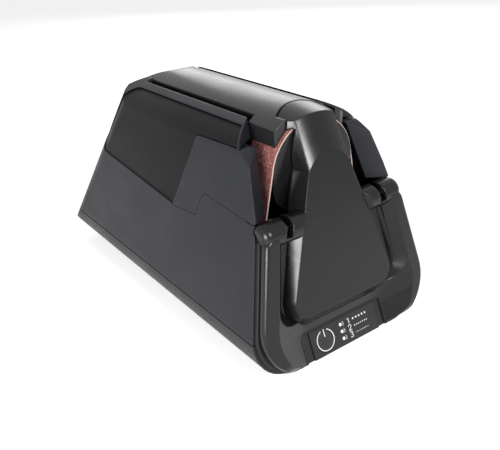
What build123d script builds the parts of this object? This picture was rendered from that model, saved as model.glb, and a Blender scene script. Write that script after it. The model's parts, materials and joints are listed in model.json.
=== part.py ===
from build123d import *
import os
from math import atan, cos, degrees, hypot, pi, radians, sin, sqrt, tan

# Countertop electric knife sharpener, belt type, in millimetres.
# +Z is up, the front faces -Y, +X is to the right seen from the front, and the origin
# lies on the floor under the middle of the machine.
# The blade is drawn along Y through a slot on either side of a narrow abrasive belt.

os.makedirs("parts", exist_ok=True)

# ---------------------------------------------------------------- driving dimensions
# body: a tapered block; the planes of its faces are given at the floor and at the crown
CROWN_HEIGHT = 140.6
BASE_HALF_WIDTH = 70.3
TOP_HALF_WIDTH = 38.5
FRONT_AT_BASE = -125.5
FRONT_AT_TOP = -95.8
REAR_AT_BASE = 141.1
REAR_AT_TOP = 62.3
REAR_CORNER_RADIUS = 14.0
REAR_CORNER_TOP_RADIUS = 23.0
REAR_TOP_RADIUS = 42.0
WALL_CROWN_DROP = 1.2            # side walls end this much below the guide cover's crown
WALL_CROWN_RADIUS = 70.0
WALL_CORNER_RADIUS = 15.0
WALL = 3.0
SEAM_GAP = 0.8

# base tray and feet
FOOT_HEIGHT = 4.0
FOOT_WIDTH = 9.0
FOOT_X = 44.5
FRONT_FOOT_LENGTH = 26.3
REAR_FOOT_LENGTH = 40.7
FRONT_FOOT_INSET = 16.0          # from the body's front plane at floor level
REAR_FOOT_INSET = 29.0           # from the body's rear plane at floor level
TRAY_SEAM_HEIGHT = 28.0
BODY_FOOT_RADIUS = 22.0          # side faces turn under to the tray's floor
REAR_FOOT_RADIUS = 14.0          # rear face turns under to the tray's floor
LIP_HEIGHT = 8.0
LIP_THICKNESS = 1.5

# front frame, bezel, rails and pillar
FRAME_THICKNESS = 2.8
FRAME_INSET = 1.0
FRAME_BORDER = 14.7
FRAME_FOOT_BAND = 14.5
FRAME_CORNER_RADIUS = 24.5
BEZEL_SCREW_FOOT = 30.5          # lower bezel screws, up the front plane
BEZEL_SCREW_DROP = 12.0          # upper bezel screws below the rail
BEZEL_SCREW_INSET = 8.0          # from the body's side face
FRAME_TIE = 40.0                 # height of the tie between the frame's legs, along the frame
FRAME_TIE_WIDTH = 8.0
FRAME_TIE_THICKNESS = 3.0
BEZEL_DEPTH = 6.5                # bezel face in front of the frame
BEZEL_INSET = 1.2                # bezel's outline inside the side faces
BEZEL_EDGE_RADIUS = 2.4
BEZEL_CORNER_RADIUS = 29.0
BEZEL_TOP_RADIUS = 6.0
BEZEL_FOOT_RADIUS = 10.0
BEZEL_WALL = 2.4
RECESS_DEPTH = 9.2
RECESS_TAPER = 40.0
LEG_WIDTH = 9.4                 # flat width of a bezel leg under the rail
LEG_SPREAD = 0.03                # extra leg width per mm downwards
RECESS_CORNER_RADIUS = 18.0
RECESS_FOOT = 25.0               # height of the recess's lower edge on the bezel face
RAIL_DROP = 56.6                 # rail's middle below the crown
RAIL_RADIUS = 7.5
NOTCH_X = 33.5
NOTCH_WIDTH = 4.6
NOTCH_DEPTH = 9.5
NOTCH_LEAN = 10.8
STOP_ROD_RADIUS = 2.4
STOP_ROD_LENGTH = 8.8
PLATEAU_SINK = 2.7               # pillar face behind the bezel face
PLATEAU_FOOT_HALF_WIDTH = 40.1
PLATEAU_FOOT = 33.5
PLATEAU_BREAK_HALF_WIDTH = 14.3
PLATEAU_BREAK_DROP = 29.2        # pillar's face folds back this much below the crown
PLATEAU_SLOPE = 5.6
PLATEAU_FOOT_SLOPE = 7.0
PLATEAU_CORNER_RADIUS = 9.0
COLUMN_DEPTH = 10.8
COLUMN_FLARE = 2.5
COLUMN_BACK = 12.2
UPPER_FACE_LEAN = 27.9
UPPER_FACE_RADIUS = 44.0
PILLAR_CHEEK_DEPTH = 9.5         # depth of the faces beside the upper face, at the fold
PILLAR_CHEEK_TOP_DEPTH = 2.5
PILLAR_TOP_TILT = 7.0
PILLAR_TOP_BACK = 49.1           # rear edge of the pillar's top behind the frame's foot line
PILLAR_TOP_BULGE = 6.0
PILLAR_WALL = 2.2

# control panel
PANEL_HALF_WIDTH = 31.0
PANEL_LENS_HALF_WIDTH = 25.6
PANEL_LEAN = 24.06
PANEL_FOOT_Y = 0.8               # lower edge of the panel's face behind the foot line
PANEL_FOOT = 3.9
PANEL_LENGTH = 17.4
PANEL_RIM = 0.3                  # bezel stands this much proud of the panel's face
DISH_FLARE = 62.0                # widening of the bezel's dish round the panel, in degrees
LENS_THICKNESS = 2.2
STRIP_SINK = 0.9
KEY_X = -15.2
KEY_RADIUS = 7.1
KEY_TRAVEL = 1.0
LAMP_X = -2.3
LAMP_RADIUS = 0.95
LAMP_PITCH = 4.3
BOARD_THICKNESS = 1.2
MARK_LINE = 8.9                  # key and lamps above the panel's lower edge
CARRIER_THICKNESS = 1.6
SWITCH_HEIGHT = 1.6

# belt drive
BELT_SETBACK = 33.2              # belt's front edge behind the frame's foot line
BELT_WIDTH = 22.0
BELT_THICKNESS = 0.8
WHEEL_RADIUS = 27.9
WHEEL_DROP = 34.3                # wheel centre below the crown
WHEEL_TYRE = 2.6
WHEEL_DISC_THICKNESS = 1.2
WHEEL_DISC_LIP = 0.4             # disc's edge beyond the tyre
WHEEL_GAP = 0.6                  # pillar's clearance round the wheel
PULLEY_RADIUS = 12.0
PULLEY_X = 28.5
PULLEY_HEIGHT = 45.0
BELT_GAP = 0.3
AXLE_RADIUS = 4.0
SHAFT_RADIUS = 2.5
IDLER_AXLE_RADIUS = 3.0
RUNNING_GAP = 0.04
FIT_GAP = 0.05
BEARING_WIDTH = 6.0
BEARING_RING = 4.5
BULKHEAD_SETBACK = 6.0
BULKHEAD_THICKNESS = 3.6
NECK_HALF_WIDTH = 17.5

# blade slots and guides
COVER_HALF_WIDTH = 20.2
COVER_RADIUS = 40.0
COVER_WALL = 2.4
COVER_SKIRT_DROP = 22.6          # cover's lower edge below the crown
SHOULDER_HALF_WIDTH = 25.0
SHOULDER_LENGTH = 23.0
SHOULDER_FRONT = 35.1            # cover's front face behind the frame's foot line
SHOULDER_CHAMFER = 3.4
SHOULDER_FOOT_DROP = 19.6        # shoulder's lower edge below the crown
SLOT_OUTER = 25.6
SLOT_FLOOR_DROP = 61.6           # floor of the blade slots below the crown
SLOT_FLOOR_HALF = 36.0
SLOT_FRONT_SETBACK = 60.8        # wall's front end behind the frame's foot line
SLOT_LENGTH = 113.0
LINER_WALL = 1.6
GUIDE_TOP_INNER = 34.7
GUIDE_INNER_LEAN = 0.16
GUIDE_TOP_DROP = 17.6            # edge guide's top below the crown
GUIDE_SHELL = 2.6
WALL_END_SETBACK = 6.8            # wall's flared front end behind the guide's funnel face
WALL_END_THICKNESS = 2.4
PANEL_REAR_MARGIN = 8.0         # ribbed panel's rear edge in front of the body's rear face
PANEL_TOP_MARGIN = 7.4           # ribbed panel's top edge below the wall's crown
PANEL_SINK = 0.9                 # ribbed panel below the side shell's surface
PANEL_THICKNESS = 1.1

# motor
MOTOR_RADIUS = 20.0
MOTOR_LENGTH = 58.0
MOTOR_WALL = 1.8
FAN_RADIUS = 18.0
FAN_WIDTH = 8.0
FAN_BLADES = 9
ARMATURE_RADIUS = 13.0

# tension arm
ARM_PIVOT_X = 12.0
ARM_PIVOT_HEIGHT = 20.0
ARM_THICKNESS = 3.6
ARM_HALF_WIDTH = 6.5
PIVOT_RADIUS = 2.5
SPRING_X = 36.0
SPRING_TOP = 68.0
SPRING_RADIUS = 1.7
SPRING_WIRE = 0.35
SPRING_TURNS = 7

# inlet
INLET_X = -34.0
INLET_HEIGHT = 17.0
INLET_RADIUS = 5.6
INLET_BORE = 2.9
INLET_PIN = 1.05
INLET_DEPTH = 13.0
INLET_COLLAR = 11.0

# fasteners
SCREW_RADIUS = 1.5
SCREW_HEAD_RADIUS = 2.8
SCREW_HEAD_HEIGHT = 2.0
SCREW_CLEARANCE = 0.1
BOSS_RADIUS = 4.4

# ---------------------------------------------------------------- values worked out
SIDE_LEAN = (BASE_HALF_WIDTH - TOP_HALF_WIDTH) / CROWN_HEIGHT
FRONT_LEAN = (FRONT_AT_TOP - FRONT_AT_BASE) / CROWN_HEIGHT
REAR_LEAN = (REAR_AT_BASE - REAR_AT_TOP) / CROWN_HEIGHT
FRONT_ANGLE = atan(FRONT_LEAN)
FRONT_COS = cos(FRONT_ANGLE)
FRONT_SIN = sin(FRONT_ANGLE)
WALL_CROWN = CROWN_HEIGHT - WALL_CROWN_DROP
RAIL_HEIGHT = CROWN_HEIGHT - RAIL_DROP
PLATEAU_BREAK = CROWN_HEIGHT - PLATEAU_BREAK_DROP
COVER_SKIRT = CROWN_HEIGHT - COVER_SKIRT_DROP
SHOULDER_FOOT = CROWN_HEIGHT - SHOULDER_FOOT_DROP
SLOT_FLOOR = CROWN_HEIGHT - SLOT_FLOOR_DROP
GUIDE_TOP = CROWN_HEIGHT - GUIDE_TOP_DROP
BELT_FRONT = FRONT_AT_BASE + BELT_SETBACK
BELT_REAR = BELT_FRONT + BELT_WIDTH
BELT_MIDDLE = BELT_FRONT + BELT_WIDTH / 2
WHEEL_HEIGHT = CROWN_HEIGHT - WHEEL_DROP
BULKHEAD_FRONT = BELT_REAR + BULKHEAD_SETBACK
BULKHEAD_REAR = BULKHEAD_FRONT + BULKHEAD_THICKNESS
SLOT_FRONT = FRONT_AT_BASE + SLOT_FRONT_SETBACK
SLOT_REAR = SLOT_FRONT + SLOT_LENGTH
TRAY_FLOOR = WALL
MOTOR_FRONT = BULKHEAD_REAR + 3.0
MOTOR_REAR = MOTOR_FRONT + MOTOR_LENGTH
FAR = 300.0                      # reach of cutting solids
PLAN_SLACK = 0.02


def side_x(z, inset=0.0):
    return BASE_HALF_WIDTH - SIDE_LEAN * z - inset * hypot(1, SIDE_LEAN)


def front_y(z):
    return FRONT_AT_BASE + FRONT_LEAN * z


def rear_y(z, inset=0.0):
    return REAR_AT_BASE - REAR_LEAN * z - inset * hypot(1, REAR_LEAN)


# ---------------------------------------------------------------- building helpers
def rounded(points, radii):
    """Closed outline with one corner radius for each point."""
    return make_face(FilletPolyline(*points, radius=radii, close=True))


def along_x(points, x0, x1, radii=None):
    """Outline in (Y, Z), carried from x0 to x1."""
    face = Polygon(*points) if radii is None else rounded(points, radii)
    return extrude(Plane.YZ.offset(x0) * face, amount=x1 - x0, dir=(1, 0, 0))


def along_y(face, y0, y1):
    """Face drawn in (X, Z), carried from y0 to y1."""
    return extrude(Plane.XZ.offset(-y0) * face, amount=y1 - y0, dir=(0, 1, 0))


def box(x0, x1, y0, y1, z0, z1):
    return Pos((x0 + x1) / 2, (y0 + y1) / 2, (z0 + z1) / 2) * Box(x1 - x0, y1 - y0, z1 - z0)


def slab(z0, z1):
    return box(-FAR, FAR, -FAR, FAR, z0, z1)


def rod_y(x, z, radius, y0, y1):
    return Pos(x, (y0 + y1) / 2, z) * Rot(90, 0, 0) * Cylinder(radius, y1 - y0)


def rod_z(x, y, radius, z0, z1):
    return Pos(x, y, (z0 + z1) / 2) * Cylinder(radius, z1 - z0)


def ring_y(x, z, outer, inner, y0, y1):
    return rod_y(x, z, outer, y0, y1) - rod_y(x, z, inner, y0 - 1, y1 + 1)


def front_plane(n=0.0):
    """Plane of the body's front; n is the distance in front of the frame's face."""
    return Plane(
        origin=(0, FRONT_AT_BASE, 0), x_dir=(1, 0, 0), z_dir=(0, -FRONT_COS, FRONT_SIN)
    ).offset(n)


def beyond(plane, reach=FAR):
    """Everything on the side of a plane that its normal points to."""
    return plane * Pos(0, 0, reach / 2) * Box(2 * FAR, 2 * FAR, reach)


def left_of(part):
    return part & box(-FAR, -SEAM_GAP / 8, -FAR, FAR, -FAR, FAR)


def mirrored(part):
    return mirror(part, about=Plane.YZ)


def save(part, name):
    solids = part.solids()
    shape = solids[0] if len(solids) == 1 else Compound(children=list(solids))
    export_step(shape, f"parts/{name}.step")


# ---------------------------------------------------------------- body envelope
def plan_face(z, inset):
    """Plan at one height, a hair wider than the section and the side view that trim it."""
    half = side_x(z, inset) + PLAN_SLACK
    rear = rear_y(z, inset) + PLAN_SLACK
    corner = REAR_CORNER_RADIUS - inset
    corner += (REAR_CORNER_TOP_RADIUS - REAR_CORNER_RADIUS) * z / CROWN_HEIGHT
    points = [(-half, -FAR), (half, -FAR), (half, rear), (-half, rear)]
    return Pos(0, 0, z) * rounded(points, [0, 0, corner, corner])


def section_face(inset):
    """Cross-section of the side walls: leaning sides, round shoulders, shallow crown."""
    tall = CROWN_HEIGHT + 20
    low = FOOT_HEIGHT + inset
    turn = BODY_FOOT_RADIUS - inset
    wedge = rounded([
        (-side_x(low, inset), low), (side_x(low, inset), low),
        (side_x(tall, inset), tall), (-side_x(tall, inset), tall),
    ], [turn, turn, 1, 1])
    crown = Pos(0, WALL_CROWN - WALL_CROWN_RADIUS) * Circle(WALL_CROWN_RADIUS - inset)
    lower = Pos(0, WALL_CROWN - 30 - FAR / 2) * Rectangle(FAR, FAR)
    face = wedge & (crown + lower)
    return fillet(face.vertices().sort_by(Axis.Y)[-2:], WALL_CORNER_RADIUS - inset)


def profile_prism(top, inset, radius):
    """Side view of the body: leaning rear with a large round at its top, a small one below."""
    crest = top - inset
    low = FOOT_HEIGHT + inset
    points = [
        (-FAR, low), (rear_y(low, inset), low), (rear_y(crest, inset), crest), (-FAR, crest),
    ]
    return along_x(points, -FAR / 2, FAR / 2, [0, REAR_FOOT_RADIUS - inset, radius - inset, 0])


def envelope(inset=0.0):
    tapered = loft([plan_face(-10, inset), plan_face(CROWN_HEIGHT + 10, inset)], ruled=True)
    section = along_y(section_face(inset), -FAR / 2, FAR / 2)
    return tapered & section & profile_prism(WALL_CROWN, inset, REAR_TOP_RADIUS)


OUTER = envelope()
INNER = envelope(WALL)
BEHIND_FRAME = beyond(front_plane(-FRAME_THICKNESS)).solids()[0]


# ---------------------------------------------------------------- belt path
def path_face(clearance):
    """Area inside the belt's run, grown by a clearance from wheel and pulleys."""
    rounds = [
        Pos(0, WHEEL_HEIGHT) * Circle(WHEEL_RADIUS + clearance),
        Pos(-PULLEY_X, PULLEY_HEIGHT) * Circle(PULLEY_RADIUS + clearance),
        Pos(PULLEY_X, PULLEY_HEIGHT) * Circle(PULLEY_RADIUS + clearance),
    ]
    return make_hull([edge for face in rounds for edge in face.edges()])


def abrasive_belt():
    face = path_face(BELT_GAP + BELT_THICKNESS) - path_face(BELT_GAP)
    return along_y(face, BELT_FRONT, BELT_REAR)


# ---------------------------------------------------------------- case
def screw_places():
    reach = side_x(TRAY_SEAM_HEIGHT) - 8.5
    return [
        (sx * reach, y) for sx in (-1, 1) for y in (front_y(0) + 25, rear_y(TRAY_SEAM_HEIGHT) - 30)
    ]


SCREW_TOP = TRAY_SEAM_HEIGHT + 14
SCREW_SEAT = FOOT_HEIGHT + 9.5
PANEL_ROOM_FLOOR = FOOT_HEIGHT + 1.2


def base_tray():
    seam = TRAY_SEAM_HEIGHT - SEAM_GAP / 2
    tray = (OUTER - INNER) & slab(0, seam)
    root = envelope(WALL - 0.5) - envelope(WALL + LIP_THICKNESS)
    lip = envelope(WALL + FIT_GAP) - envelope(WALL + LIP_THICKNESS)
    tray += root & slab(TRAY_SEAM_HEIGHT - LIP_HEIGHT, seam)
    tray += lip & slab(seam - 0.5, TRAY_SEAM_HEIGHT + LIP_HEIGHT / 2)
    for x, y in screw_places():
        tray += rod_z(x, y, BOSS_RADIUS + 1.0, FOOT_HEIGHT, seam) & OUTER
        reach = BOSS_RADIUS + 0.6
        tray -= box(-FAR if x < 0 else x - reach, x + reach if x < 0 else FAR, y - reach, y + reach,
                    seam, TRAY_SEAM_HEIGHT + LIP_HEIGHT)
    wall = inlet_wall_y()
    tray += rod_y(INLET_X, INLET_HEIGHT, INLET_RADIUS + 3.0, wall - INLET_COLLAR, wall + 6) & OUTER
    tray -= BEHIND_FRAME
    room = PANEL_HALF_WIDTH + 0.4
    tray -= box(-room, room, -FAR, FRONT_AT_BASE + 7.4, 0, TRAY_SEAM_HEIGHT + 20)
    tray -= box(-room, room, -FAR, FRONT_AT_BASE + 16, PANEL_ROOM_FLOOR, TRAY_SEAM_HEIGHT + 20)
    tray -= dish_block(DISH_SKIN + 0.4)
    for x, y in screw_places():
        tray -= rod_z(x, y, SCREW_RADIUS + SCREW_CLEARANCE, 0, TRAY_SEAM_HEIGHT + 1)
        tray -= rod_z(x, y, SCREW_HEAD_RADIUS + 0.3, 0, SCREW_SEAT)
    for row in range(7):
        y = MOTOR_REAR - 8 + 6 * row
        tray -= box(-PULLEY_X - 12, 20 - PULLEY_X, y, y + 2.4, 0, FOOT_HEIGHT + 6)
    return tray - rod_y(INLET_X, INLET_HEIGHT, INLET_RADIUS + FIT_GAP, wall - 30, FAR)


def rubber_feet():
    feet = []
    front = front_y(0) + FRONT_FOOT_INSET
    rear = rear_y(0) - REAR_FOOT_INSET
    spans = [(front, front + FRONT_FOOT_LENGTH), (rear - REAR_FOOT_LENGTH, rear)]
    for sx in (-1, 1):
        for y0, y1 in spans:
            pad = box(-FOOT_WIDTH / 2, FOOT_WIDTH / 2, y0, y1, 0, FOOT_HEIGHT + 6)
            pad = fillet(pad.edges().filter_by(Axis.Z), FOOT_WIDTH / 2 - 0.6)
            pad = chamfer(pad.faces().sort_by(Axis.Z)[0].edges(), 0.6)
            feet.append(Pos(sx * FOOT_X, 0, 0) * pad - OUTER)
    return Compound(children=[solid for pad in feet for solid in pad.solids()])


def screw_up(x, y):
    """Case screw with its head in the tray and its shank in a shell's boss."""
    head = rod_z(x, y, SCREW_HEAD_RADIUS, SCREW_SEAT - SCREW_HEAD_HEIGHT, SCREW_SEAT)
    recess = rod_z(x, y, 1.1, SCREW_SEAT - SCREW_HEAD_HEIGHT - 1, SCREW_SEAT - 0.8)
    return head + rod_z(x, y, SCREW_RADIUS, SCREW_SEAT, SCREW_TOP) - recess


def guide_outline(gap=0.0):
    """Side view of an edge guide, in (Y, Z); gap grows it on every side that meets the shell."""
    foot = RAIL_HEIGHT + 6.0
    f = FRONT_AT_BASE
    return [
        (f + 21.6 - gap, foot - gap), (f + 68.4, foot + 3.0 - gap), (f + 72.6 - gap, foot + 0.6 - gap),
        (f + 76.9 - gap, foot - 11.8 - gap), (f + 102.6 + gap, foot - 13.9 - gap),
        (f + 92.1 + gap, GUIDE_TOP - 20.1), (f + 84.6 + gap, GUIDE_TOP - 1.0 + gap),
        (f + 42.9, GUIDE_TOP + 0.3 + gap), (f + 32.3 - gap, GUIDE_TOP - 5.9 + gap),
        (f + 28.0 - gap, GUIDE_TOP - 14.5 + gap),
    ]


GUIDE_RADII = [1.0, 1.5, 2.5, 1.5, 0.8, 6.0, 3.5, 7.0, 5.0, 6.0]


def panel_outline(gap=0.0):
    """Side view of a ribbed panel, in (Y, Z)."""
    low_rear = rear_y(SLOT_FLOOR) - PANEL_REAR_MARGIN
    top = WALL_CROWN - PANEL_TOP_MARGIN - gap
    high_rear = rear_y(top) - PANEL_REAR_MARGIN - 6
    return [
        (FRONT_AT_BASE + 98 + gap, SLOT_FLOOR - 3 + gap), (low_rear - gap, SLOT_FLOOR + 6 + gap),
        (high_rear - gap, top), (FRONT_AT_BASE + 34, top),
        (FRONT_AT_BASE + 34, GUIDE_TOP - 12), (FRONT_AT_BASE + 89, GUIDE_TOP - 12),
    ]


PANEL_RADII = [1, 8, 16, 1, 1, 1]


def wall_end(setback=0.0):
    """Flared plane in which the side wall ends in front; setback moves it rearwards."""
    return funnel_plane().offset(-WALL_END_SETBACK - setback)


def side_shell():
    """Left shell: side wall with a pocket for its panel, and its half of the rear."""
    shell = (OUTER - INNER) & slab(TRAY_SEAM_HEIGHT + SEAM_GAP / 2, CROWN_HEIGHT)
    shell -= BEHIND_FRAME
    shell = left_of(shell)
    shell -= box(-SLOT_OUTER, 1, -FAR, SLOT_REAR, COVER_SKIRT - 10, FAR)
    shell -= box(-COVER_HALF_WIDTH - 0.4, 1, 0, FAR, COVER_SKIRT - 0.4, FAR)
    shell -= rail_bar(0.4)
    shell -= along_x(guide_outline(0.35), -FAR, 0)
    shell -= beyond(wall_end()) & slab(RAIL_HEIGHT + 5.65, FAR)
    closing = left_of(OUTER) & slab(GUIDE_TOP + 0.9, FAR)
    closing &= beyond(wall_end(WALL_END_THICKNESS)) - beyond(wall_end())
    shell += closing - box(-SLOT_OUTER, 1, -FAR, FAR, 0, FAR)
    pocket = along_x(panel_outline(), -FAR, 0, PANEL_RADII) - POCKET_CORE
    shell -= pocket - beyond(wall_end(WALL_END_THICKNESS / 2))
    for x, y in screw_places():
        if x < 0:
            boss = rod_z(x, y, BOSS_RADIUS, TRAY_SEAM_HEIGHT + SEAM_GAP / 2, SCREW_TOP + 4)
            web = box(-side_x(SCREW_TOP) - 4, x, y - 1.2, y + 1.2, SCREW_TOP - 10, SCREW_TOP + 4)
            shell += boss + (web & SHELL_CORE)
            shell -= rod_z(x, y, SCREW_RADIUS + SCREW_CLEARANCE, 0, SCREW_TOP + 1)
    return shell


SHELL_CORE = envelope(WALL / 2)
POCKET_CORE = envelope(PANEL_SINK + PANEL_THICKNESS + FIT_GAP)


def ribbed_panel():
    """Left textured panel, lying in its pocket."""
    skin = envelope(PANEL_SINK) - envelope(PANEL_SINK + PANEL_THICKNESS)
    panel = left_of(skin) & along_x(panel_outline(0.15), -FAR, 0, PANEL_RADII)
    panel -= along_x(guide_outline(0.35), -FAR, 0)
    return panel - beyond(wall_end(WALL_END_THICKNESS / 2 + 0.15))


def guide_inner_x(z):
    return -(GUIDE_TOP_INNER + GUIDE_INNER_LEAN * (GUIDE_TOP - 12 - z))


def funnel_plane():
    """Flared face of an edge guide, open towards the front and the middle."""
    height = RAIL_HEIGHT + 6.8
    return Plane(
        origin=(-side_x(height) + 0.8, FRONT_AT_BASE + 21.6, height),
        x_dir=(0.83, 0.56, 0), z_dir=(0.548, -0.805, 0.230),
    )


def edge_guide():
    """Left edge guide: outer wall flush with the shell, thick front with a funnel face."""
    body = along_x(guide_outline(), -FAR, 0, GUIDE_RADII)
    wall = left_of(OUTER - envelope(GUIDE_SHELL)) & body
    high, low = GUIDE_TOP + 5, SLOT_FLOOR
    side = Polygon(
        (-FAR, low), (guide_inner_x(low), low), (guide_inner_x(high), high), (-FAR, high)
    )
    block = left_of(OUTER) & body & along_y(side, FRONT_AT_BASE, FRONT_AT_BASE + 60)
    block &= slab(RAIL_HEIGHT + 6.5, FAR)
    hollow = left_of(envelope(GUIDE_SHELL)) & along_y(
        Pos(-GUIDE_SHELL, 0) * side, FRONT_AT_BASE + 47, FAR
    )
    guide = wall + (block - hollow)
    return guide - beyond(funnel_plane(), 60) - rail_bar(0.4)


def front_outline(inset, foot, head, foot_radius, head_radius):
    """Outline on the front plane, following the body's leaning sides."""
    def half(v):
        return side_x(v * FRONT_COS, inset)
    points = [(-half(foot), foot), (half(foot), foot), (half(head), head), (-half(head), head)]
    return rounded(points, [foot_radius, foot_radius, head_radius, head_radius])


RAIL_V = (RAIL_HEIGHT + (BEZEL_DEPTH - RAIL_RADIUS) * -FRONT_SIN) / FRONT_COS
FRONT_FOOT = (FOOT_HEIGHT + 0.4) / FRONT_COS


def front_frame():
    plate = extrude(
        front_plane(-FRAME_THICKNESS)
        * front_outline(FRAME_INSET, FRONT_FOOT, RAIL_V, FRAME_CORNER_RADIUS, 2.0),
        amount=FRAME_THICKNESS,
    )
    window = extrude(
        front_plane(-FRAME_THICKNESS - 1)
        * front_outline(FRAME_BORDER, FRONT_FOOT + FRAME_FOOT_BAND, RAIL_V + 30, 10.0, 1.0),
        amount=FRAME_THICKNESS + 2,
    )
    frame = plate - window - rail_bar(0.1)
    frame -= panel_block(-BOARD_ROOM, FAR, PANEL_HALF_WIDTH + 0.4)
    frame -= dish_block(DISH_SKIN + 0.3)
    back = RECESS_DEPTH - BEZEL_DEPTH + BEZEL_WALL + 0.3
    reach = side_x(FRAME_TIE) - FRAME_BORDER + 6
    tie = Pos(0, FRAME_TIE) * Rectangle(2 * reach, FRAME_TIE_WIDTH)
    gap = Pos(0, FRAME_TIE) * Rectangle(2 * (reach - 5), FRAME_TIE_WIDTH)
    frame += extrude(front_plane(-back - FRAME_TIE_THICKNESS) * tie, amount=FRAME_TIE_THICKNESS)
    frame += extrude(front_plane(-back) * (tie - gap), amount=back - FRAME_THICKNESS / 2)
    for u, v in bezel_screw_places():
        frame -= front_plane(-10) * Pos(u, v, 5) * Cylinder(SCREW_RADIUS + SCREW_CLEARANCE, 30)
    return frame


DISH_SKIN = 1.8


def dish_block(grow=0.0):
    """Space in front of the control panel, widening outwards."""
    outline = RectangleRounded(
        2 * (PANEL_HALF_WIDTH + grow) + 3, PANEL_LENGTH + 9 + 2 * grow, 5 + grow
    )
    base = panel_plane().offset(PANEL_RIM - grow) * Pos(0, PANEL_LENGTH / 2 - 3) * outline
    return extrude(base, amount=16 + grow, taper=-DISH_FLARE)


def bezel_screw_places():
    def half(v):
        return side_x(v * FRONT_COS, BEZEL_SCREW_INSET)
    heights = (BEZEL_SCREW_FOOT, RAIL_V - BEZEL_SCREW_DROP)
    return [(sx * half(v), v) for sx in (-1, 1) for v in heights]


def recess_block(depth, grow=0.0):
    """Tapered recess between the bezel's legs, open at the top."""
    def half(v):
        drop = RAIL_V - v
        return side_x(v * FRONT_COS) - LEG_WIDTH - LEG_SPREAD * drop + grow
    foot = RECESS_FOOT / FRONT_COS - grow
    head = RAIL_V + 40
    points = [(-half(foot), foot), (half(foot), foot), (half(head), head), (-half(head), head)]
    r = RECESS_CORNER_RADIUS
    face = front_plane(BEZEL_DEPTH) * rounded(points, [r, r, 1, 1])
    return extrude(face, amount=-depth, taper=RECESS_TAPER)


BOARD_ROOM = 12.0


def panel_plane():
    """Plane of the control panel's face, with its origin on the lower edge."""
    lean = radians(PANEL_LEAN)
    return Plane(
        origin=(0, FRONT_AT_BASE + PANEL_FOOT_Y, PANEL_FOOT),
        x_dir=(1, 0, 0), z_dir=(0, -cos(lean), sin(lean)),
    )


def panel_block(n0, n1, half_width, v0=-8.0, v1=PANEL_LENGTH):
    """Block on the control panel's plane, n0 to n1 out of its face."""
    face = Pos(0, (v0 + v1) / 2) * Rectangle(2 * half_width, v1 - v0)
    return extrude(panel_plane().offset(n0) * face, amount=n1 - n0)


def rail_bar(grow=0.0):
    """Round bar along the top of the bezel, its ends rounded to the side faces."""
    centre = front_plane(BEZEL_DEPTH - RAIL_RADIUS) * Pos(0, RAIL_V, 0) * Rot(0, 90, 0)
    reach = side_x(RAIL_HEIGHT) - BEZEL_INSET + 0.4
    bar = centre * Cylinder(RAIL_RADIUS, 2 * reach)
    bar = fillet(bar.edges().filter_by(GeomType.CIRCLE), 4.5)
    if not grow:
        return bar
    grown = centre * Cylinder(RAIL_RADIUS + grow, 2 * (reach + grow))
    return fillet(grown.edges().filter_by(GeomType.CIRCLE), 4.5 + grow)


def bezel_side_view():
    """Side view of the bezel, in (Y, Z), with its lower front edge rounded."""
    face = front_y(0) - BEZEL_DEPTH / FRONT_COS
    low, high = FOOT_HEIGHT, RAIL_HEIGHT + RAIL_RADIUS + 10
    return [
        (face + FRONT_LEAN * low, low), (FRONT_AT_BASE + 30, low), (FRONT_AT_BASE + 60, high),
        (face + FRONT_LEAN * high, high),
    ]


def front_bezel():
    plate = extrude(
        front_plane(0)
        * front_outline(BEZEL_INSET, FRONT_FOOT, RAIL_V, BEZEL_CORNER_RADIUS - 1, BEZEL_TOP_RADIUS),
        amount=BEZEL_DEPTH,
    )
    plate = fillet(plate.faces().sort_by(Axis.Y)[0].outer_wire().edges(), BEZEL_EDGE_RADIUS)
    plate &= along_x(bezel_side_view(), -FAR, FAR, [BEZEL_FOOT_RADIUS, 1, 1, 1])
    foot = FRONT_FOOT + FRAME_FOOT_BAND + 0.3
    skin = extrude(
        front_plane(-8) * front_outline(FRAME_INSET + 4, FRONT_FOOT, RAIL_V / 2, 20.0, 1.0), amount=8.1
    )
    tub = extrude(
        front_plane(-RECESS_DEPTH + BEZEL_DEPTH - BEZEL_WALL)
        * front_outline(FRAME_BORDER + 0.3, foot, RAIL_V, 9.7, 1.0),
        amount=RECESS_DEPTH + BEZEL_WALL - BEZEL_DEPTH,
    )
    bezel = plate + tub + (skin & dish_block(DISH_SKIN)) - recess_block(RECESS_DEPTH)
    bezel += rail_bar()
    bezel -= PILLAR_BLOCK
    bezel -= extrude(
        front_plane(BEZEL_DEPTH - PLATEAU_SINK) * pillar_outline(RAIL_V + 14), amount=9, taper=-42
    )
    bezel -= dish_block()
    bezel -= panel_block(-BOARD_ROOM, 3 * BOARD_ROOM, PANEL_HALF_WIDTH)
    for sx in (-1, 1):
        notch = Pos(sx * NOTCH_X, 0, RAIL_HEIGHT + RAIL_RADIUS) * Rot(0, -sx * NOTCH_LEAN, 0)
        bezel -= notch * box(
            -NOTCH_WIDTH / 2, NOTCH_WIDTH / 2, -FAR, FAR, -NOTCH_DEPTH, RAIL_RADIUS
        ) & box(-FAR, FAR, -FAR, FAR, 60, FAR)
        bezel -= stop_rod(sx, 0.08)
    for u, v in bezel_screw_places():
        bezel -= front_plane(-6) * Pos(u, v, 5) * Cylinder(SCREW_RADIUS + SCREW_CLEARANCE, 10)
    return bezel


def stop_rod(sx, grow=0.0):
    rail_n = BEZEL_DEPTH - RAIL_RADIUS
    centre = front_plane(rail_n) * Pos(0, RAIL_V, 0)
    rod = centre * Rot(0, 90, 0) * Cylinder(STOP_ROD_RADIUS + grow, STOP_ROD_LENGTH + 2 * grow)
    return Pos(sx * NOTCH_X, 0, 0) * rod


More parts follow.
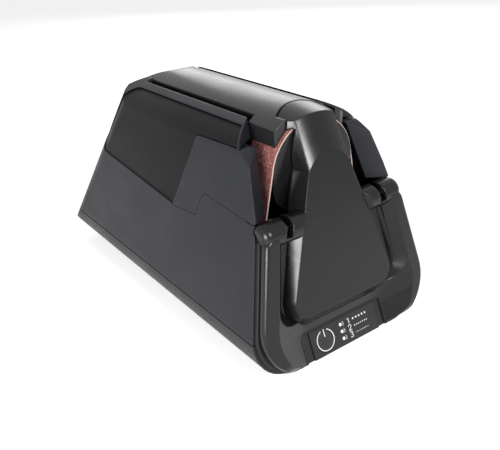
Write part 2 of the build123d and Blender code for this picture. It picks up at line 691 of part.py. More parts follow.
# ---------------------------------------------------------------- pillar
def pillar_half(v, inset=0.0):
    """Half width of the pillar's face, v up the front plane."""
    narrow = (PLATEAU_FOOT_HALF_WIDTH - PLATEAU_BREAK_HALF_WIDTH) / (PLATEAU_BREAK - PLATEAU_FOOT)
    z = v * FRONT_COS + (BEZEL_DEPTH - PLATEAU_SINK - inset) * FRONT_SIN
    return PLATEAU_BREAK_HALF_WIDTH + max(0.0, PLATEAU_BREAK - z) * narrow - inset


def pillar_outline(head, inset=0.0):
    foot = PLATEAU_FOOT / FRONT_COS + inset
    low, high = pillar_half(foot, inset), pillar_half(head, inset)
    r = PLATEAU_CORNER_RADIUS
    return rounded([(-low, foot), (low, foot), (high, head), (-high, head)], [r, r, 1, 1])


def pillar_block(inset=0.0):
    """Centre pillar as one solid, or its hollow when inset."""
    face_n = BEZEL_DEPTH - PLATEAU_SINK - inset
    floor_n = BEZEL_DEPTH - RECESS_DEPTH

    def half(v):
        return pillar_half(v, inset)

    foot = PLATEAU_FOOT / FRONT_COS + inset
    head = RAIL_V - inset
    r = PLATEAU_CORNER_RADIUS
    s, f = PLATEAU_SLOPE, PLATEAU_FOOT_SLOPE
    low = [
        (-half(foot) - s, foot - f), (half(foot) + s, foot - f),
        (half(head) + s, head), (-half(head) - s, head),
    ]
    plateau = loft([
        front_plane(floor_n - (1 if inset else 0)) * rounded(low, [r + 6, r + 6, 1, 1]),
        front_plane(face_n) * pillar_outline(head, inset),
    ], ruled=True)

    waist = RAIL_V - 4
    break_v = PLATEAU_BREAK / FRONT_COS

    def column_face(n, grow):
        points = [
            (-half(waist) - grow, waist), (half(waist) + grow, waist),
            (half(break_v) + grow, break_v), (-half(break_v) - grow, break_v),
        ]
        return front_plane(n) * Polygon(*points)

    depth = COLUMN_DEPTH - inset
    back = COLUMN_BACK + (3 if inset else 0)
    column = loft([column_face(face_n, 0), column_face(face_n - depth, COLUMN_FLARE)], ruled=True)
    column += extrude(column_face(face_n - depth, COLUMN_FLARE), amount=-(back - depth))

    rear = FRONT_AT_BASE + PILLAR_TOP_BACK + (3 if inset else 0)
    lean = tan(radians(UPPER_FACE_LEAN))
    break_y = front_y(PLATEAU_BREAK) - (BEZEL_DEPTH - PLATEAU_SINK) / FRONT_COS

    def level(z, front_half, side_depth):
        y = break_y + (z - PLATEAU_BREAK) * lean + inset
        wide = PLATEAU_BREAK_HALF_WIDTH + COLUMN_FLARE - inset
        narrow_half = front_half - inset
        face = Polygon(
            (-narrow_half, y - 7), (narrow_half, y - 7), (narrow_half, y), (wide, y + side_depth),
            (wide, rear), (-wide, rear), (-wide, y + side_depth), (-narrow_half, y),
        )
        return Pos(0, 0, z) * face

    peak = CROWN_HEIGHT + 6
    head = loft([
        level(PLATEAU_BREAK, PLATEAU_BREAK_HALF_WIDTH, PILLAR_CHEEK_DEPTH),
        level(peak, PLATEAU_BREAK_HALF_WIDTH - 1.1, PILLAR_CHEEK_TOP_DEPTH),
    ], ruled=True)
    root = extrude(level(PLATEAU_BREAK, PLATEAU_BREAK_HALF_WIDTH, PILLAR_CHEEK_DEPTH), amount=-6)
    if not inset:
        head &= plate_end(0)
    block = plateau + column + ((root + head) - beyond(front_plane(face_n)))
    block &= upper_face(inset) & pillar_top(inset)
    if inset:
        return block
    belt_radius = WHEEL_RADIUS + BELT_GAP + BELT_THICKNESS
    disc_radius = WHEEL_RADIUS + WHEEL_DISC_LIP
    disc_front = BELT_FRONT - WHEEL_DISC_THICKNESS
    for radius, front in ((belt_radius, BELT_FRONT), (disc_radius, disc_front)):
        clear = radius + WHEEL_GAP
        block -= rod_y(0, WHEEL_HEIGHT, clear, front - WHEEL_GAP, FAR)
        block -= box(-clear, clear, front - WHEEL_GAP, FAR, 0, WHEEL_HEIGHT)
    return block


def plate_end(gap):
    """Space in front of the bulging rear edge of the pillar's top plate."""
    half = PLATEAU_BREAK_HALF_WIDTH + COLUMN_FLARE
    rear = FRONT_AT_BASE + PILLAR_TOP_BACK
    bulge = (half ** 2 + PILLAR_TOP_BULGE ** 2) / (2 * PILLAR_TOP_BULGE)
    return Pos(0, rear - bulge, 0) * Cylinder(bulge + gap, 2 * FAR) + box(
        -FAR, FAR, -FAR, rear - PILLAR_TOP_BULGE, -FAR, FAR)


def upper_face(inset):
    """Space under the pillar's folded-back upper face, a crowned leaning surface."""
    lean = radians(UPPER_FACE_LEAN)
    edge_y = front_y(PLATEAU_BREAK) - (BEZEL_DEPTH - PLATEAU_SINK) / FRONT_COS
    bow = UPPER_FACE_RADIUS - sqrt(UPPER_FACE_RADIUS ** 2 - PLATEAU_BREAK_HALF_WIDTH ** 2)
    reach = UPPER_FACE_RADIUS - bow
    start = Vector(0, edge_y + reach * cos(lean), PLATEAU_BREAK - reach * sin(lean))
    axis = Plane(origin=start, x_dir=(1, 0, 0), z_dir=(0, sin(lean), cos(lean)))
    return axis * Cylinder(UPPER_FACE_RADIUS - inset, 4 * FAR) + slab(-FAR, SLOT_FLOOR)


def pillar_top(inset):
    """Space under the pillar's crowned top, which tips down towards the front."""
    tilt = radians(PILLAR_TOP_TILT)
    rear = FRONT_AT_BASE + PILLAR_TOP_BACK
    drop = COVER_RADIUS
    axis = Plane(
        origin=(0, rear + drop * sin(tilt), CROWN_HEIGHT - 0.2 - drop * cos(tilt)),
        x_dir=(1, 0, 0), z_dir=(0, cos(tilt), sin(tilt)),
    )
    return axis * Cylinder(COVER_RADIUS - inset, 4 * FAR) + slab(-FAR, WHEEL_HEIGHT)


PILLAR_BLOCK = pillar_block()


def pillar_cover():
    return PILLAR_BLOCK - pillar_block(PILLAR_WALL)


# ---------------------------------------------------------------- guide cover
def cover_block(inset=0.0):
    """Guide cover as one solid, or its hollow when inset."""
    half = COVER_HALF_WIDTH - inset
    wide = SHOULDER_HALF_WIDTH - inset
    crown = Pos(0, CROWN_HEIGHT - COVER_RADIUS) * Circle(COVER_RADIUS - inset)
    low = COVER_SKIRT - (5 if inset else 0)
    shoulder_rear = FRONT_AT_BASE + SHOULDER_FRONT + SHOULDER_LENGTH - inset
    shoulder_front = FRONT_AT_BASE + SHOULDER_FRONT + inset
    spine_face = crown & Pos(0, low + 50) * Rectangle(2 * half, 100)
    hood_face = crown & Pos(0, SHOULDER_FOOT - (5 if inset else 0) + 50) * Rectangle(2 * wide, 100)
    spine = along_y(spine_face, shoulder_rear - 5, FAR / 2)
    hood = along_y(hood_face, shoulder_front, shoulder_rear)
    tail = profile_prism(CROWN_HEIGHT, inset, REAR_TOP_RADIUS + WALL_CROWN_DROP)
    return (spine + hood) & tail


def guide_cover():
    cover = cover_block() - cover_block(COVER_WALL)
    head_half = PLATEAU_BREAK_HALF_WIDTH + COLUMN_FLARE + SEAM_GAP
    cover -= box(-head_half, head_half, -FAR, FAR, 0, FAR) & plate_end(SEAM_GAP)
    front = FRONT_AT_BASE + SHOULDER_FRONT
    wide, cut = SHOULDER_HALF_WIDTH, SHOULDER_CHAMFER
    for sx in (-1, 1):
        corner = Polygon(
            (sx * wide * 1.2, front - 5), (sx * wide * 1.2, front + cut * 0.45),
            (sx * wide, front + cut * 0.45), (sx * (wide - cut), front), (sx * (wide - cut), front - 5),
        )
        cover -= extrude(corner, amount=FAR)
    clear = WHEEL_RADIUS + BELT_GAP + BELT_THICKNESS + 0.9
    return cover - rod_y(0, WHEEL_HEIGHT, clear, BELT_FRONT - 8, BELT_REAR + 2)


def cover_pegs():
    """Locating pegs under the cover, standing in the bulkhead's sockets."""
    pegs = [rod_z(sx * 12, BULKHEAD_FRONT + BULKHEAD_THICKNESS / 2, 1.2, WHEEL_HEIGHT + 12,
                  CROWN_HEIGHT - COVER_WALL - 2.5) for sx in (-1, 1)]
    return pegs


# ---------------------------------------------------------------- slots
def slot_liner():
    """Left slot's trough: leaning outer wall, floor, upright inner wall and rear end."""
    t = LINER_WALL
    core = WALL_CROWN_RADIUS - WALL
    top = WALL_CROWN - WALL - core + sqrt(core ** 2 - (SLOT_OUTER + t) ** 2) - FIT_GAP - 0.1
    ledge = COVER_SKIRT - 0.4
    inner = COVER_HALF_WIDTH
    outline = Polygon(
        (-SLOT_OUTER - t, top), (-SLOT_FLOOR_HALF - t, SLOT_FLOOR - t), (-inner + t, SLOT_FLOOR - t),
        (-inner + t, ledge), (-inner, ledge), (-inner, SLOT_FLOOR), (-SLOT_FLOOR_HALF, SLOT_FLOOR),
        (-SLOT_OUTER, top),
    )
    end = Polygon(
        (-SLOT_OUTER - t, top), (-SLOT_FLOOR_HALF - t, SLOT_FLOOR - t), (-inner + t, SLOT_FLOOR - t),
        (-inner + t, ledge), (-inner - 0.4, ledge), (-inner - 0.4, top), (-SLOT_OUTER, top),
    )
    liner = along_y(outline, BULKHEAD_REAR + 0.1, SLOT_REAR)
    return liner + along_y(end, SLOT_REAR, SLOT_REAR + t)


# ---------------------------------------------------------------- chassis
def chassis_bulkhead():
    low = FOOT_HEIGHT + TRAY_FLOOR + 0.1
    shoulder = SLOT_FLOOR - 3.2
    reach = side_x(0)
    plate = Polygon((-reach, low), (reach, low), (reach, shoulder), (-reach, shoulder))
    neck_top = WHEEL_HEIGHT + 14
    neck = Pos(0, (shoulder - 5 + neck_top) / 2) * Rectangle(
        2 * NECK_HALF_WIDTH, neck_top - shoulder + 5
    )
    face = plate + neck
    face = fillet(face.vertices().sort_by(Axis.Y)[-2:], 8)
    bulkhead = along_y(face, BULKHEAD_FRONT, BULKHEAD_REAR)
    bulkhead += box(-reach, reach, BULKHEAD_FRONT, BULKHEAD_REAR + 10, low, low + 3)
    rib_x = PULLEY_X + MOTOR_RADIUS - 6
    bulkhead += box(rib_x - 1.2, rib_x + 1.2, BULKHEAD_REAR, BULKHEAD_REAR + 9, low, shoulder - 20)
    bulkhead += box(-rib_x - 1.2, -rib_x + 1.2, BULKHEAD_REAR, BULKHEAD_REAR + 9, low,
                    PULLEY_HEIGHT - MOTOR_RADIUS - 1)
    bulkhead &= envelope(WALL + LIP_THICKNESS + 0.3)
    bulkhead += rod_y(0, WHEEL_HEIGHT, AXLE_RADIUS + 3, BULKHEAD_REAR, BULKHEAD_REAR + 5)
    bulkhead -= rod_y(0, WHEEL_HEIGHT, AXLE_RADIUS + FIT_GAP, -FAR, FAR)
    bulkhead -= rod_y(-PULLEY_X, PULLEY_HEIGHT, SHAFT_RADIUS + 3.2, -FAR, FAR)
    bulkhead -= rod_y(ARM_PIVOT_X, ARM_PIVOT_HEIGHT, PIVOT_RADIUS + FIT_GAP, -FAR, FAR)
    for x, z in motor_screw_places():
        bulkhead -= rod_y(x, z, SCREW_RADIUS + SCREW_CLEARANCE, -FAR, FAR)
    lug = box(SPRING_X - 3, SPRING_X + 3, BULKHEAD_FRONT - 4.6, BULKHEAD_FRONT, SPRING_TOP,
              SPRING_TOP + 3)
    bulkhead += lug
    for sx in (-1, 1):
        bulkhead -= rod_z(sx * 12, BULKHEAD_FRONT + BULKHEAD_THICKNESS / 2, 1.3,
                          WHEEL_HEIGHT + 10, FAR)
    return bulkhead


def motor_screw_places():
    r = 12.0
    return [(-PULLEY_X - r, PULLEY_HEIGHT), (-PULLEY_X + r, PULLEY_HEIGHT)]


# ---------------------------------------------------------------- belt wheel
def wheel_axle():
    """Fixed axle with a shoulder behind the bulkhead and a neck for the retaining screw."""
    front = BELT_FRONT + 2.0
    axle = rod_y(0, WHEEL_HEIGHT, AXLE_RADIUS, front, BULKHEAD_REAR + 5)
    axle += rod_y(0, WHEEL_HEIGHT, AXLE_RADIUS + 2.4, BULKHEAD_REAR + 5, BULKHEAD_REAR + 7)
    return axle - rod_y(0, WHEEL_HEIGHT, SCREW_RADIUS + SCREW_CLEARANCE, -FAR, front + 10)


def wheel_screw():
    front = BELT_FRONT + 2.0
    head = rod_y(0, WHEEL_HEIGHT, AXLE_RADIUS + 1.6, front - 1.6, front)
    return head + rod_y(0, WHEEL_HEIGHT, SCREW_RADIUS, front, front + 9)


def bearing_places(front, rear):
    return [(front, front + BEARING_WIDTH), (rear - BEARING_WIDTH, rear)]


def wheel_hub():
    """Wheel body: hub, web and rim."""
    hub_bore = AXLE_RADIUS + BEARING_RING
    rim = WHEEL_RADIUS - WHEEL_TYRE
    y0, y1 = BELT_FRONT, BELT_REAR
    wheel = ring_y(0, WHEEL_HEIGHT, rim, rim - 3, y0, y1)
    wheel += ring_y(0, WHEEL_HEIGHT, hub_bore + 2.5, hub_bore, y0 + 4, y1 - 1)
    web = ring_y(0, WHEEL_HEIGHT, rim - 2, hub_bore + 1, BELT_MIDDLE - 1.5, BELT_MIDDLE + 1.5)
    for spoke in range(6):
        turn = 2 * pi * spoke / 6
        web -= rod_y(17 * cos(turn), WHEEL_HEIGHT + 17 * sin(turn), 3.2, y0, y1)
    return wheel + web


def wheel_tyre():
    return ring_y(0, WHEEL_HEIGHT, WHEEL_RADIUS, WHEEL_RADIUS - WHEEL_TYRE + FIT_GAP, BELT_FRONT,
                  BELT_REAR)


def wheel_disc():
    """Domed dust disc on the wheel's front."""
    y1 = BELT_FRONT - 0.05
    radius = WHEEL_RADIUS + WHEEL_DISC_LIP
    dome_height = 1.0
    dome = (radius ** 2 + dome_height ** 2) / (2 * dome_height)
    disc = rod_y(0, WHEEL_HEIGHT, radius, y1 - WHEEL_DISC_THICKNESS, y1)
    ball = Pos(0, y1 - WHEEL_DISC_THICKNESS + dome - 0.4, WHEEL_HEIGHT) * Sphere(dome)
    disc = disc & ball
    ring = ring_y(0, WHEEL_HEIGHT, WHEEL_RADIUS - WHEEL_TYRE - 3.2, WHEEL_RADIUS - WHEEL_TYRE - 5,
                  y1 - 0.2, y1 + 3)
    return disc + ring


def bearings(x, z, bore, ring, places):
    return Compound(children=[
        ring_y(x, z, ring - FIT_GAP, bore + RUNNING_GAP, y0, y1).solids()[0] for y0, y1 in places
    ])


# ---------------------------------------------------------------- drive
def drive_pulley():
    pulley = ring_y(-PULLEY_X, PULLEY_HEIGHT, PULLEY_RADIUS, SHAFT_RADIUS + FIT_GAP, BELT_FRONT,
                    BELT_REAR)
    groove = ring_y(-PULLEY_X, PULLEY_HEIGHT, PULLEY_RADIUS - 3, SHAFT_RADIUS + 3, BELT_FRONT - 1,
                    BELT_FRONT + 8)
    return pulley - groove


def motor_shaft():
    flat = box(-PULLEY_X - 5, -PULLEY_X + 5, BELT_FRONT - 2, BELT_REAR - 2,
               PULLEY_HEIGHT + SHAFT_RADIUS - 0.5, PULLEY_HEIGHT + 5)
    shaft = rod_y(-PULLEY_X, PULLEY_HEIGHT, SHAFT_RADIUS, BELT_FRONT + 1,
                  MOTOR_REAR + 4 + FAN_WIDTH + 4)
    return shaft - flat


def motor_armature():
    core = ring_y(-PULLEY_X, PULLEY_HEIGHT, ARMATURE_RADIUS, SHAFT_RADIUS + FIT_GAP,
                  MOTOR_FRONT + 10, MOTOR_REAR - 20)
    for slot in range(8):
        turn = 2 * pi * slot / 8
        core -= rod_y(-PULLEY_X + (ARMATURE_RADIUS - 1.5) * cos(turn),
                      PULLEY_HEIGHT + (ARMATURE_RADIUS - 1.5) * sin(turn), 1.6, -FAR, FAR)
    return core


def commutator():
    y0 = MOTOR_REAR - 18
    return ring_y(-PULLEY_X, PULLEY_HEIGHT, 6.0, SHAFT_RADIUS + FIT_GAP, y0, y0 + 9)


def cooling_fan():
    y0 = MOTOR_REAR + 5.0
    y1 = y0 + FAN_WIDTH
    fan = ring_y(-PULLEY_X, PULLEY_HEIGHT, 6.0, SHAFT_RADIUS + FIT_GAP, y0, y1)
    fan += ring_y(-PULLEY_X, PULLEY_HEIGHT, FAN_RADIUS, 5.0, y0, y0 + 1.2)
    for blade in range(FAN_BLADES):
        vane = Pos(0, 0, 0) * box(5.0, FAN_RADIUS - 0.5, y0 + 1, y1, -0.6, 0.6)
        fan += Pos(-PULLEY_X, 0, PULLEY_HEIGHT) * Rot(0, 360 * blade / FAN_BLADES, 0) * vane
    return fan


def motor_can():
    can = ring_y(-PULLEY_X, PULLEY_HEIGHT, MOTOR_RADIUS, MOTOR_RADIUS - MOTOR_WALL, MOTOR_FRONT,
                 MOTOR_REAR)
    for sx in (-1, 1):
        magnet = ring_y(-PULLEY_X, PULLEY_HEIGHT, MOTOR_RADIUS - MOTOR_WALL + 0.2,
                        ARMATURE_RADIUS + 0.8, MOTOR_FRONT + 8, MOTOR_REAR - 18)
        wedge = box(-FAR, FAR, -FAR, FAR, PULLEY_HEIGHT + (4 if sx > 0 else -FAR),
                    PULLEY_HEIGHT + (FAR if sx > 0 else -4))
        can += magnet & wedge
    return can


def motor_front_cap():
    """Front cap, flat against the bulkhead, with the front shaft bush."""
    cap = rod_y(-PULLEY_X, PULLEY_HEIGHT, MOTOR_RADIUS, BULKHEAD_REAR, MOTOR_FRONT)
    cap += rod_y(-PULLEY_X, PULLEY_HEIGHT, MOTOR_RADIUS - MOTOR_WALL - 0.1, MOTOR_FRONT,
                 MOTOR_FRONT + 2)
    cap += rod_y(-PULLEY_X, PULLEY_HEIGHT, 5.5, MOTOR_FRONT, MOTOR_FRONT + 6)
    cap -= rod_y(-PULLEY_X, PULLEY_HEIGHT, SHAFT_RADIUS + RUNNING_GAP, -FAR, FAR)
    for x, z in motor_screw_places():
        cap -= rod_y(x, z, SCREW_RADIUS + SCREW_CLEARANCE, -FAR, FAR)
    return cap


def motor_rear_cap():
    cap = rod_y(-PULLEY_X, PULLEY_HEIGHT, MOTOR_RADIUS, MOTOR_REAR, MOTOR_REAR + 2.4)
    cap += rod_y(-PULLEY_X, PULLEY_HEIGHT, MOTOR_RADIUS - MOTOR_WALL - 0.1, MOTOR_REAR - 3,
                 MOTOR_REAR)
    cap += rod_y(-PULLEY_X, PULLEY_HEIGHT, 5.5, MOTOR_REAR, MOTOR_REAR + 4)
    for window in range(4):
        turn = pi / 4 + window * pi / 2
        cap -= rod_y(-PULLEY_X + 12.5 * cos(turn), PULLEY_HEIGHT + 12.5 * sin(turn), 3.2, -FAR, FAR)
    return cap - rod_y(-PULLEY_X, PULLEY_HEIGHT, SHAFT_RADIUS + RUNNING_GAP, -FAR, FAR)


def brushes():
    y0 = MOTOR_REAR - 16.5
    pair = []
    for sx in (-1, 1):
        near, far = -PULLEY_X + sx * 6.3, -PULLEY_X + sx * (MOTOR_RADIUS - MOTOR_WALL - 0.3)
        pair.append(box(min(near, far), max(near, far), y0, y0 + 6, PULLEY_HEIGHT - 2,
                        PULLEY_HEIGHT + 2).solids()[0])
    return Compound(children=pair)


def motor_screws():
    y0 = BULKHEAD_FRONT
    screws = []
    for x, z in motor_screw_places():
        screw = rod_y(x, z, SCREW_HEAD_RADIUS, y0 - 1.6, y0)
        screw += rod_y(x, z, SCREW_RADIUS, y0, MOTOR_FRONT + 1)
        screws.append(screw.solids()[0])
    return Compound(children=screws)


# ---------------------------------------------------------------- tension arm
def arm_planes():
    rear = BULKHEAD_FRONT - 0.5
    return rear - ARM_THICKNESS, rear


def tension_arm():
    y0, y1 = arm_planes()
    rounds = [
        Pos(ARM_PIVOT_X, ARM_PIVOT_HEIGHT) * Circle(ARM_HALF_WIDTH),
        Pos(PULLEY_X, PULLEY_HEIGHT) * Circle(ARM_HALF_WIDTH),
    ]
    face = make_hull([edge for item in rounds for edge in item.edges()])
    tip = [
        Pos(PULLEY_X, PULLEY_HEIGHT) * Circle(ARM_HALF_WIDTH - 1.5),
        Pos(SPRING_X, PULLEY_HEIGHT + 7) * Circle(2.6),
    ]
    face += make_hull([edge for item in tip for edge in item.edges()])
    arm = along_y(face, y0, y1)
    arm -= rod_y(ARM_PIVOT_X, ARM_PIVOT_HEIGHT, PIVOT_RADIUS + RUNNING_GAP, -FAR, FAR)
    return arm - rod_y(PULLEY_X, PULLEY_HEIGHT, IDLER_AXLE_RADIUS + FIT_GAP, -FAR, FAR)


def idler_axle():
    y0, y1 = arm_planes()
    axle = rod_y(PULLEY_X, PULLEY_HEIGHT, IDLER_AXLE_RADIUS, BELT_FRONT - 0.5, y1)
    axle += rod_y(PULLEY_X, PULLEY_HEIGHT, IDLER_AXLE_RADIUS + 1.8, y0 - 0.7, y0)
    return axle + rod_y(PULLEY_X, PULLEY_HEIGHT, IDLER_AXLE_RADIUS + 1.6, BELT_FRONT - 1.8,
                        BELT_FRONT - 0.5)


def pivot_pin():
    y0, y1 = arm_planes()
    pin = rod_y(ARM_PIVOT_X, ARM_PIVOT_HEIGHT, PIVOT_RADIUS, y0 - 0.4, BULKHEAD_REAR + 0.4)
    pin += rod_y(ARM_PIVOT_X, ARM_PIVOT_HEIGHT, PIVOT_RADIUS + 1.8, y0 - 2.0, y0 - 0.4)
    return pin + rod_y(ARM_PIVOT_X, ARM_PIVOT_HEIGHT, PIVOT_RADIUS + 1.8, BULKHEAD_REAR + 0.05,
                       BULKHEAD_REAR + 1.6)


def idler_pulley():
    bore = IDLER_AXLE_RADIUS + 4.0
    return ring_y(PULLEY_X, PULLEY_HEIGHT, PULLEY_RADIUS, bore, BELT_FRONT, BELT_REAR)


def tension_spring():
    low = PULLEY_HEIGHT + 7 + 2.9
    height = SPRING_TOP - 0.3 - low - 2 * SPRING_WIRE
    y = (arm_planes()[0] + arm_planes()[1]) / 2
    helix = Helix(pitch=height / SPRING_TURNS, height=height, radius=SPRING_RADIUS)
    section = Plane(origin=helix @ 0, z_dir=helix % 0) * Circle(SPRING_WIRE)
    coil = sweep(section, path=helix)
    return Pos(SPRING_X, y, low + SPRING_WIRE) * coil


# ---------------------------------------------------------------- controls
def panel_lens():
    """Glossy lens with openings for the key and the light pipes."""
    lens = panel_block(-LENS_THICKNESS, 0, PANEL_LENS_HALF_WIDTH, 0.4, PANEL_LENGTH - 0.4)
    lens = fillet(lens.edges().filter_by(Axis.X).sort_by(Axis.Z)[-2:-1], 0.3)
    lens -= on_panel(KEY_X, Cylinder(KEY_RADIUS, FAR))
    for lamp in (-1, 0, 1):
        lens -= on_panel(LAMP_X, Cylinder(LAMP_RADIUS + FIT_GAP, FAR), lamp * LAMP_PITCH)
    return lens


def on_panel(x, shape, up=0.0, out=0.0):
    return panel_plane() * Pos(x, MARK_LINE + up, out) * shape


def panel_carrier():
    """Carrier behind the lens, with the two sunk side strips."""
    plate = panel_block(-LENS_THICKNESS - CARRIER_THICKNESS, -LENS_THICKNESS, PANEL_HALF_WIDTH - 0.1, 0.2,
                        PANEL_LENGTH - 0.2)
    for sx in (-1, 1):
        x0, x1 = PANEL_LENS_HALF_WIDTH + 0.1, PANEL_HALF_WIDTH - 0.1
        strip = panel_block(-LENS_THICKNESS, -STRIP_SINK, (x1 - x0) / 2, 0.2, PANEL_LENGTH - 0.2)
        plate += Pos(sx * (x0 + x1) / 2, 0, 0) * strip
    plate &= slab(FOOT_HEIGHT + 0.1, FAR)
    plate -= on_panel(KEY_X, Cylinder(KEY_RADIUS - 1.2, FAR))
    for lamp in (-1, 0, 1):
        plate -= on_panel(LAMP_X, Cylinder(LAMP_RADIUS + FIT_GAP, FAR), lamp * LAMP_PITCH)
    return plate


KEY_STEM_LOW = -LENS_THICKNESS - CARRIER_THICKNESS - 0.6
SWITCH_FACE = KEY_STEM_LOW - KEY_TRAVEL - 0.2
BOARD_FACE = SWITCH_FACE - SWITCH_HEIGHT


def power_key():
    cap = on_panel(KEY_X, Cylinder(KEY_RADIUS - 0.3, 1.0), out=-0.5)
    stem = on_panel(KEY_X, Cylinder(2.2, -KEY_STEM_LOW - 0.5), out=(KEY_STEM_LOW - 0.5) / 2)
    return cap + stem


def light_pipes():
    low = KEY_STEM_LOW - 0.3
    pipes = [
        on_panel(LAMP_X, Cylinder(LAMP_RADIUS, -low), lamp * LAMP_PITCH, low / 2).solids()[0]
        for lamp in (-1, 0, 1)
    ]
    return Compound(children=pipes)


def key_switch():
    """Switch body under the key, its plunger at the key's end of travel."""
    return on_panel(KEY_X, Box(4.2, 3.6, SWITCH_HEIGHT), out=SWITCH_FACE - SWITCH_HEIGHT / 2)


def control_board():
    """Board hung behind the carrier on two posts, clear of the tray's floor."""
    low, high = MARK_LINE - 1.9, PANEL_LENGTH - 1
    half = PANEL_LENS_HALF_WIDTH - 2
    board = panel_block(BOARD_FACE - BOARD_THICKNESS, BOARD_FACE, half, low, high)
    for sx in (-1, 1):
        post = -LENS_THICKNESS - CARRIER_THICKNESS - BOARD_FACE
        board += on_panel(sx * (half - 3), Cylinder(1.8, post), 3.0, BOARD_FACE + post / 2)
    return board


# ---------------------------------------------------------------- power
SPEED_BOARD_HEIGHT = 14.0


def speed_board():
    """Motor board on four posts, with capacitors, coil and connector."""
    low = FOOT_HEIGHT + TRAY_FLOOR + 0.1
    x0, x1, y0, y1 = -10.0, 38.0, MOTOR_REAR - 20, MOTOR_REAR + 30
    board = box(x0, x1, y0, y1, SPEED_BOARD_HEIGHT, SPEED_BOARD_HEIGHT + BOARD_THICKNESS)
    for x in (x0 + 4, x1 - 4):
        for y in (y0 + 4, y1 - 4):
            board += rod_z(x, y, 2.2, low, SPEED_BOARD_HEIGHT)
    return board


def board_parts():
    top = SPEED_BOARD_HEIGHT + BOARD_THICKNESS
    x, y = 0.0, MOTOR_REAR - 10
    parts = [
        rod_z(x, y, 5.0, top, top + 16), rod_z(x + 13, y, 5.0, top, top + 16),
        box(x + 22, x + 34, y - 6, y + 8, top, top + 9),
        box(x - 6, x + 6, y + 22, y + 32, top, top + 8),
        box(x + 12, x + 36, y + 20, y + 23, top, top + 18),
    ]
    return Compound(children=[part.solids()[0] for part in parts])


def inlet_wall_y():
    """Rear face of the tray at the inlet's height, where it turns under."""
    rise = FOOT_HEIGHT + REAR_FOOT_RADIUS - INLET_HEIGHT
    centre = rear_y(FOOT_HEIGHT + REAR_FOOT_RADIUS, REAR_FOOT_RADIUS)
    return centre + sqrt(REAR_FOOT_RADIUS ** 2 - rise ** 2)


def inlet_socket():
    """Round low-voltage inlet, its collar on the tray's rear wall."""
    wall = inlet_wall_y()
    body = rod_y(INLET_X, INLET_HEIGHT, INLET_RADIUS, wall - INLET_COLLAR - 6, wall - 1.5)
    body -= rod_y(INLET_X, INLET_HEIGHT, INLET_BORE, wall - INLET_DEPTH + 1.5, wall + 5)
    nut = ring_y(INLET_X, INLET_HEIGHT, INLET_RADIUS + 2.4, INLET_RADIUS - 0.5,
                 wall - INLET_COLLAR - 3, wall - INLET_COLLAR)
    return body + nut


def inlet_pin():
    wall = inlet_wall_y()
    return rod_y(INLET_X, INLET_HEIGHT, INLET_PIN, wall - INLET_DEPTH + 1.5, wall - 3)


# ---------------------------------------------------------------- build every piece
def bezel_screws():
    screws = []
    for u, v in bezel_screw_places():
        head = front_plane(-FRAME_THICKNESS) * Pos(u, v, -SCREW_HEAD_HEIGHT / 2) * Cylinder(
            SCREW_HEAD_RADIUS, SCREW_HEAD_HEIGHT)
        shank = front_plane(-FRAME_THICKNESS) * Pos(u, v, 3.1) * Cylinder(SCREW_RADIUS, 6.2)
        screws.append((head + shank).solids()[0])
    return Compound(children=screws)


def build():
    left_shell = side_shell()
    left_panel = ribbed_panel()
    left_guide = edge_guide()
    left_liner = slot_liner()
    bearing_y = bearing_places(BELT_FRONT + 4, BELT_REAR - 1)
    pieces = {
        "base_tray": base_tray(),
        "left_side_shell": left_shell,
        "right_side_shell": mirrored(left_shell),
        "left_ribbed_panel": left_panel,
        "right_ribbed_panel": mirrored(left_panel),
        "left_edge_guide": left_guide,
        "right_edge_guide": mirrored(left_guide),
        "left_slot_liner": left_liner,
        "right_slot_liner": mirrored(left_liner),
        "front_frame": front_frame(),
        "front_bezel": front_bezel(),
        "pillar_cover": pillar_cover(),
        "left_stop_rod": stop_rod(-1),
        "right_stop_rod": stop_rod(1),
        "guide_cover": guide_cover(),
        "cover_pegs": Compound(children=[peg.solids()[0] for peg in cover_pegs()]),
        "rubber_feet": rubber_feet(),
        "case_screws": Compound(children=[screw_up(x, y).solids()[0] for x, y in screw_places()]),
        "bezel_screws": bezel_screws(),
        "chassis_bulkhead": chassis_bulkhead(),
        "abrasive_belt": abrasive_belt(),
        "wheel_axle": wheel_axle(),
        "wheel_screw": wheel_screw(),
        "wheel_hub": wheel_hub(),
        "wheel_tyre": wheel_tyre(),
        "wheel_disc": wheel_disc(),
        "wheel_bearings": bearings(0, WHEEL_HEIGHT, AXLE_RADIUS, AXLE_RADIUS + BEARING_RING,
                                   bearing_y),
        "drive_pulley": drive_pulley(),
        "motor_shaft": motor_shaft(),
        "motor_armature": motor_armature(),
        "commutator": commutator(),
        "cooling_fan": cooling_fan(),
        "motor_can": motor_can(),
        "motor_front_cap": motor_front_cap(),
        "motor_rear_cap": motor_rear_cap(),
        "motor_brushes": brushes(),
        "motor_screws": motor_screws(),
        "tension_arm": tension_arm(),
        "idler_axle": idler_axle(),
        "pivot_pin": pivot_pin(),
        "idler_pulley": idler_pulley(),
        "idler_bearings": bearings(PULLEY_X, PULLEY_HEIGHT, IDLER_AXLE_RADIUS,
                                   IDLER_AXLE_RADIUS + 4.0, bearing_places(BELT_FRONT, BELT_REAR)),
        "tension_spring": tension_spring(),
        "panel_lens": panel_lens(),
        "panel_carrier": panel_carrier(),
        "power_key": power_key(),
        "light_pipes": light_pipes(),
        "key_switch": key_switch(),
        "control_board": control_board(),
        "speed_board": speed_board(),
        "board_parts": board_parts(),
        "inlet_socket": inlet_socket(),
        "inlet_pin": inlet_pin(),
    }
    for name, piece in pieces.items():
        save(piece, name)


build()
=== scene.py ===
import json
import math

import bmesh
import bpy
from mathutils import Matrix, Vector


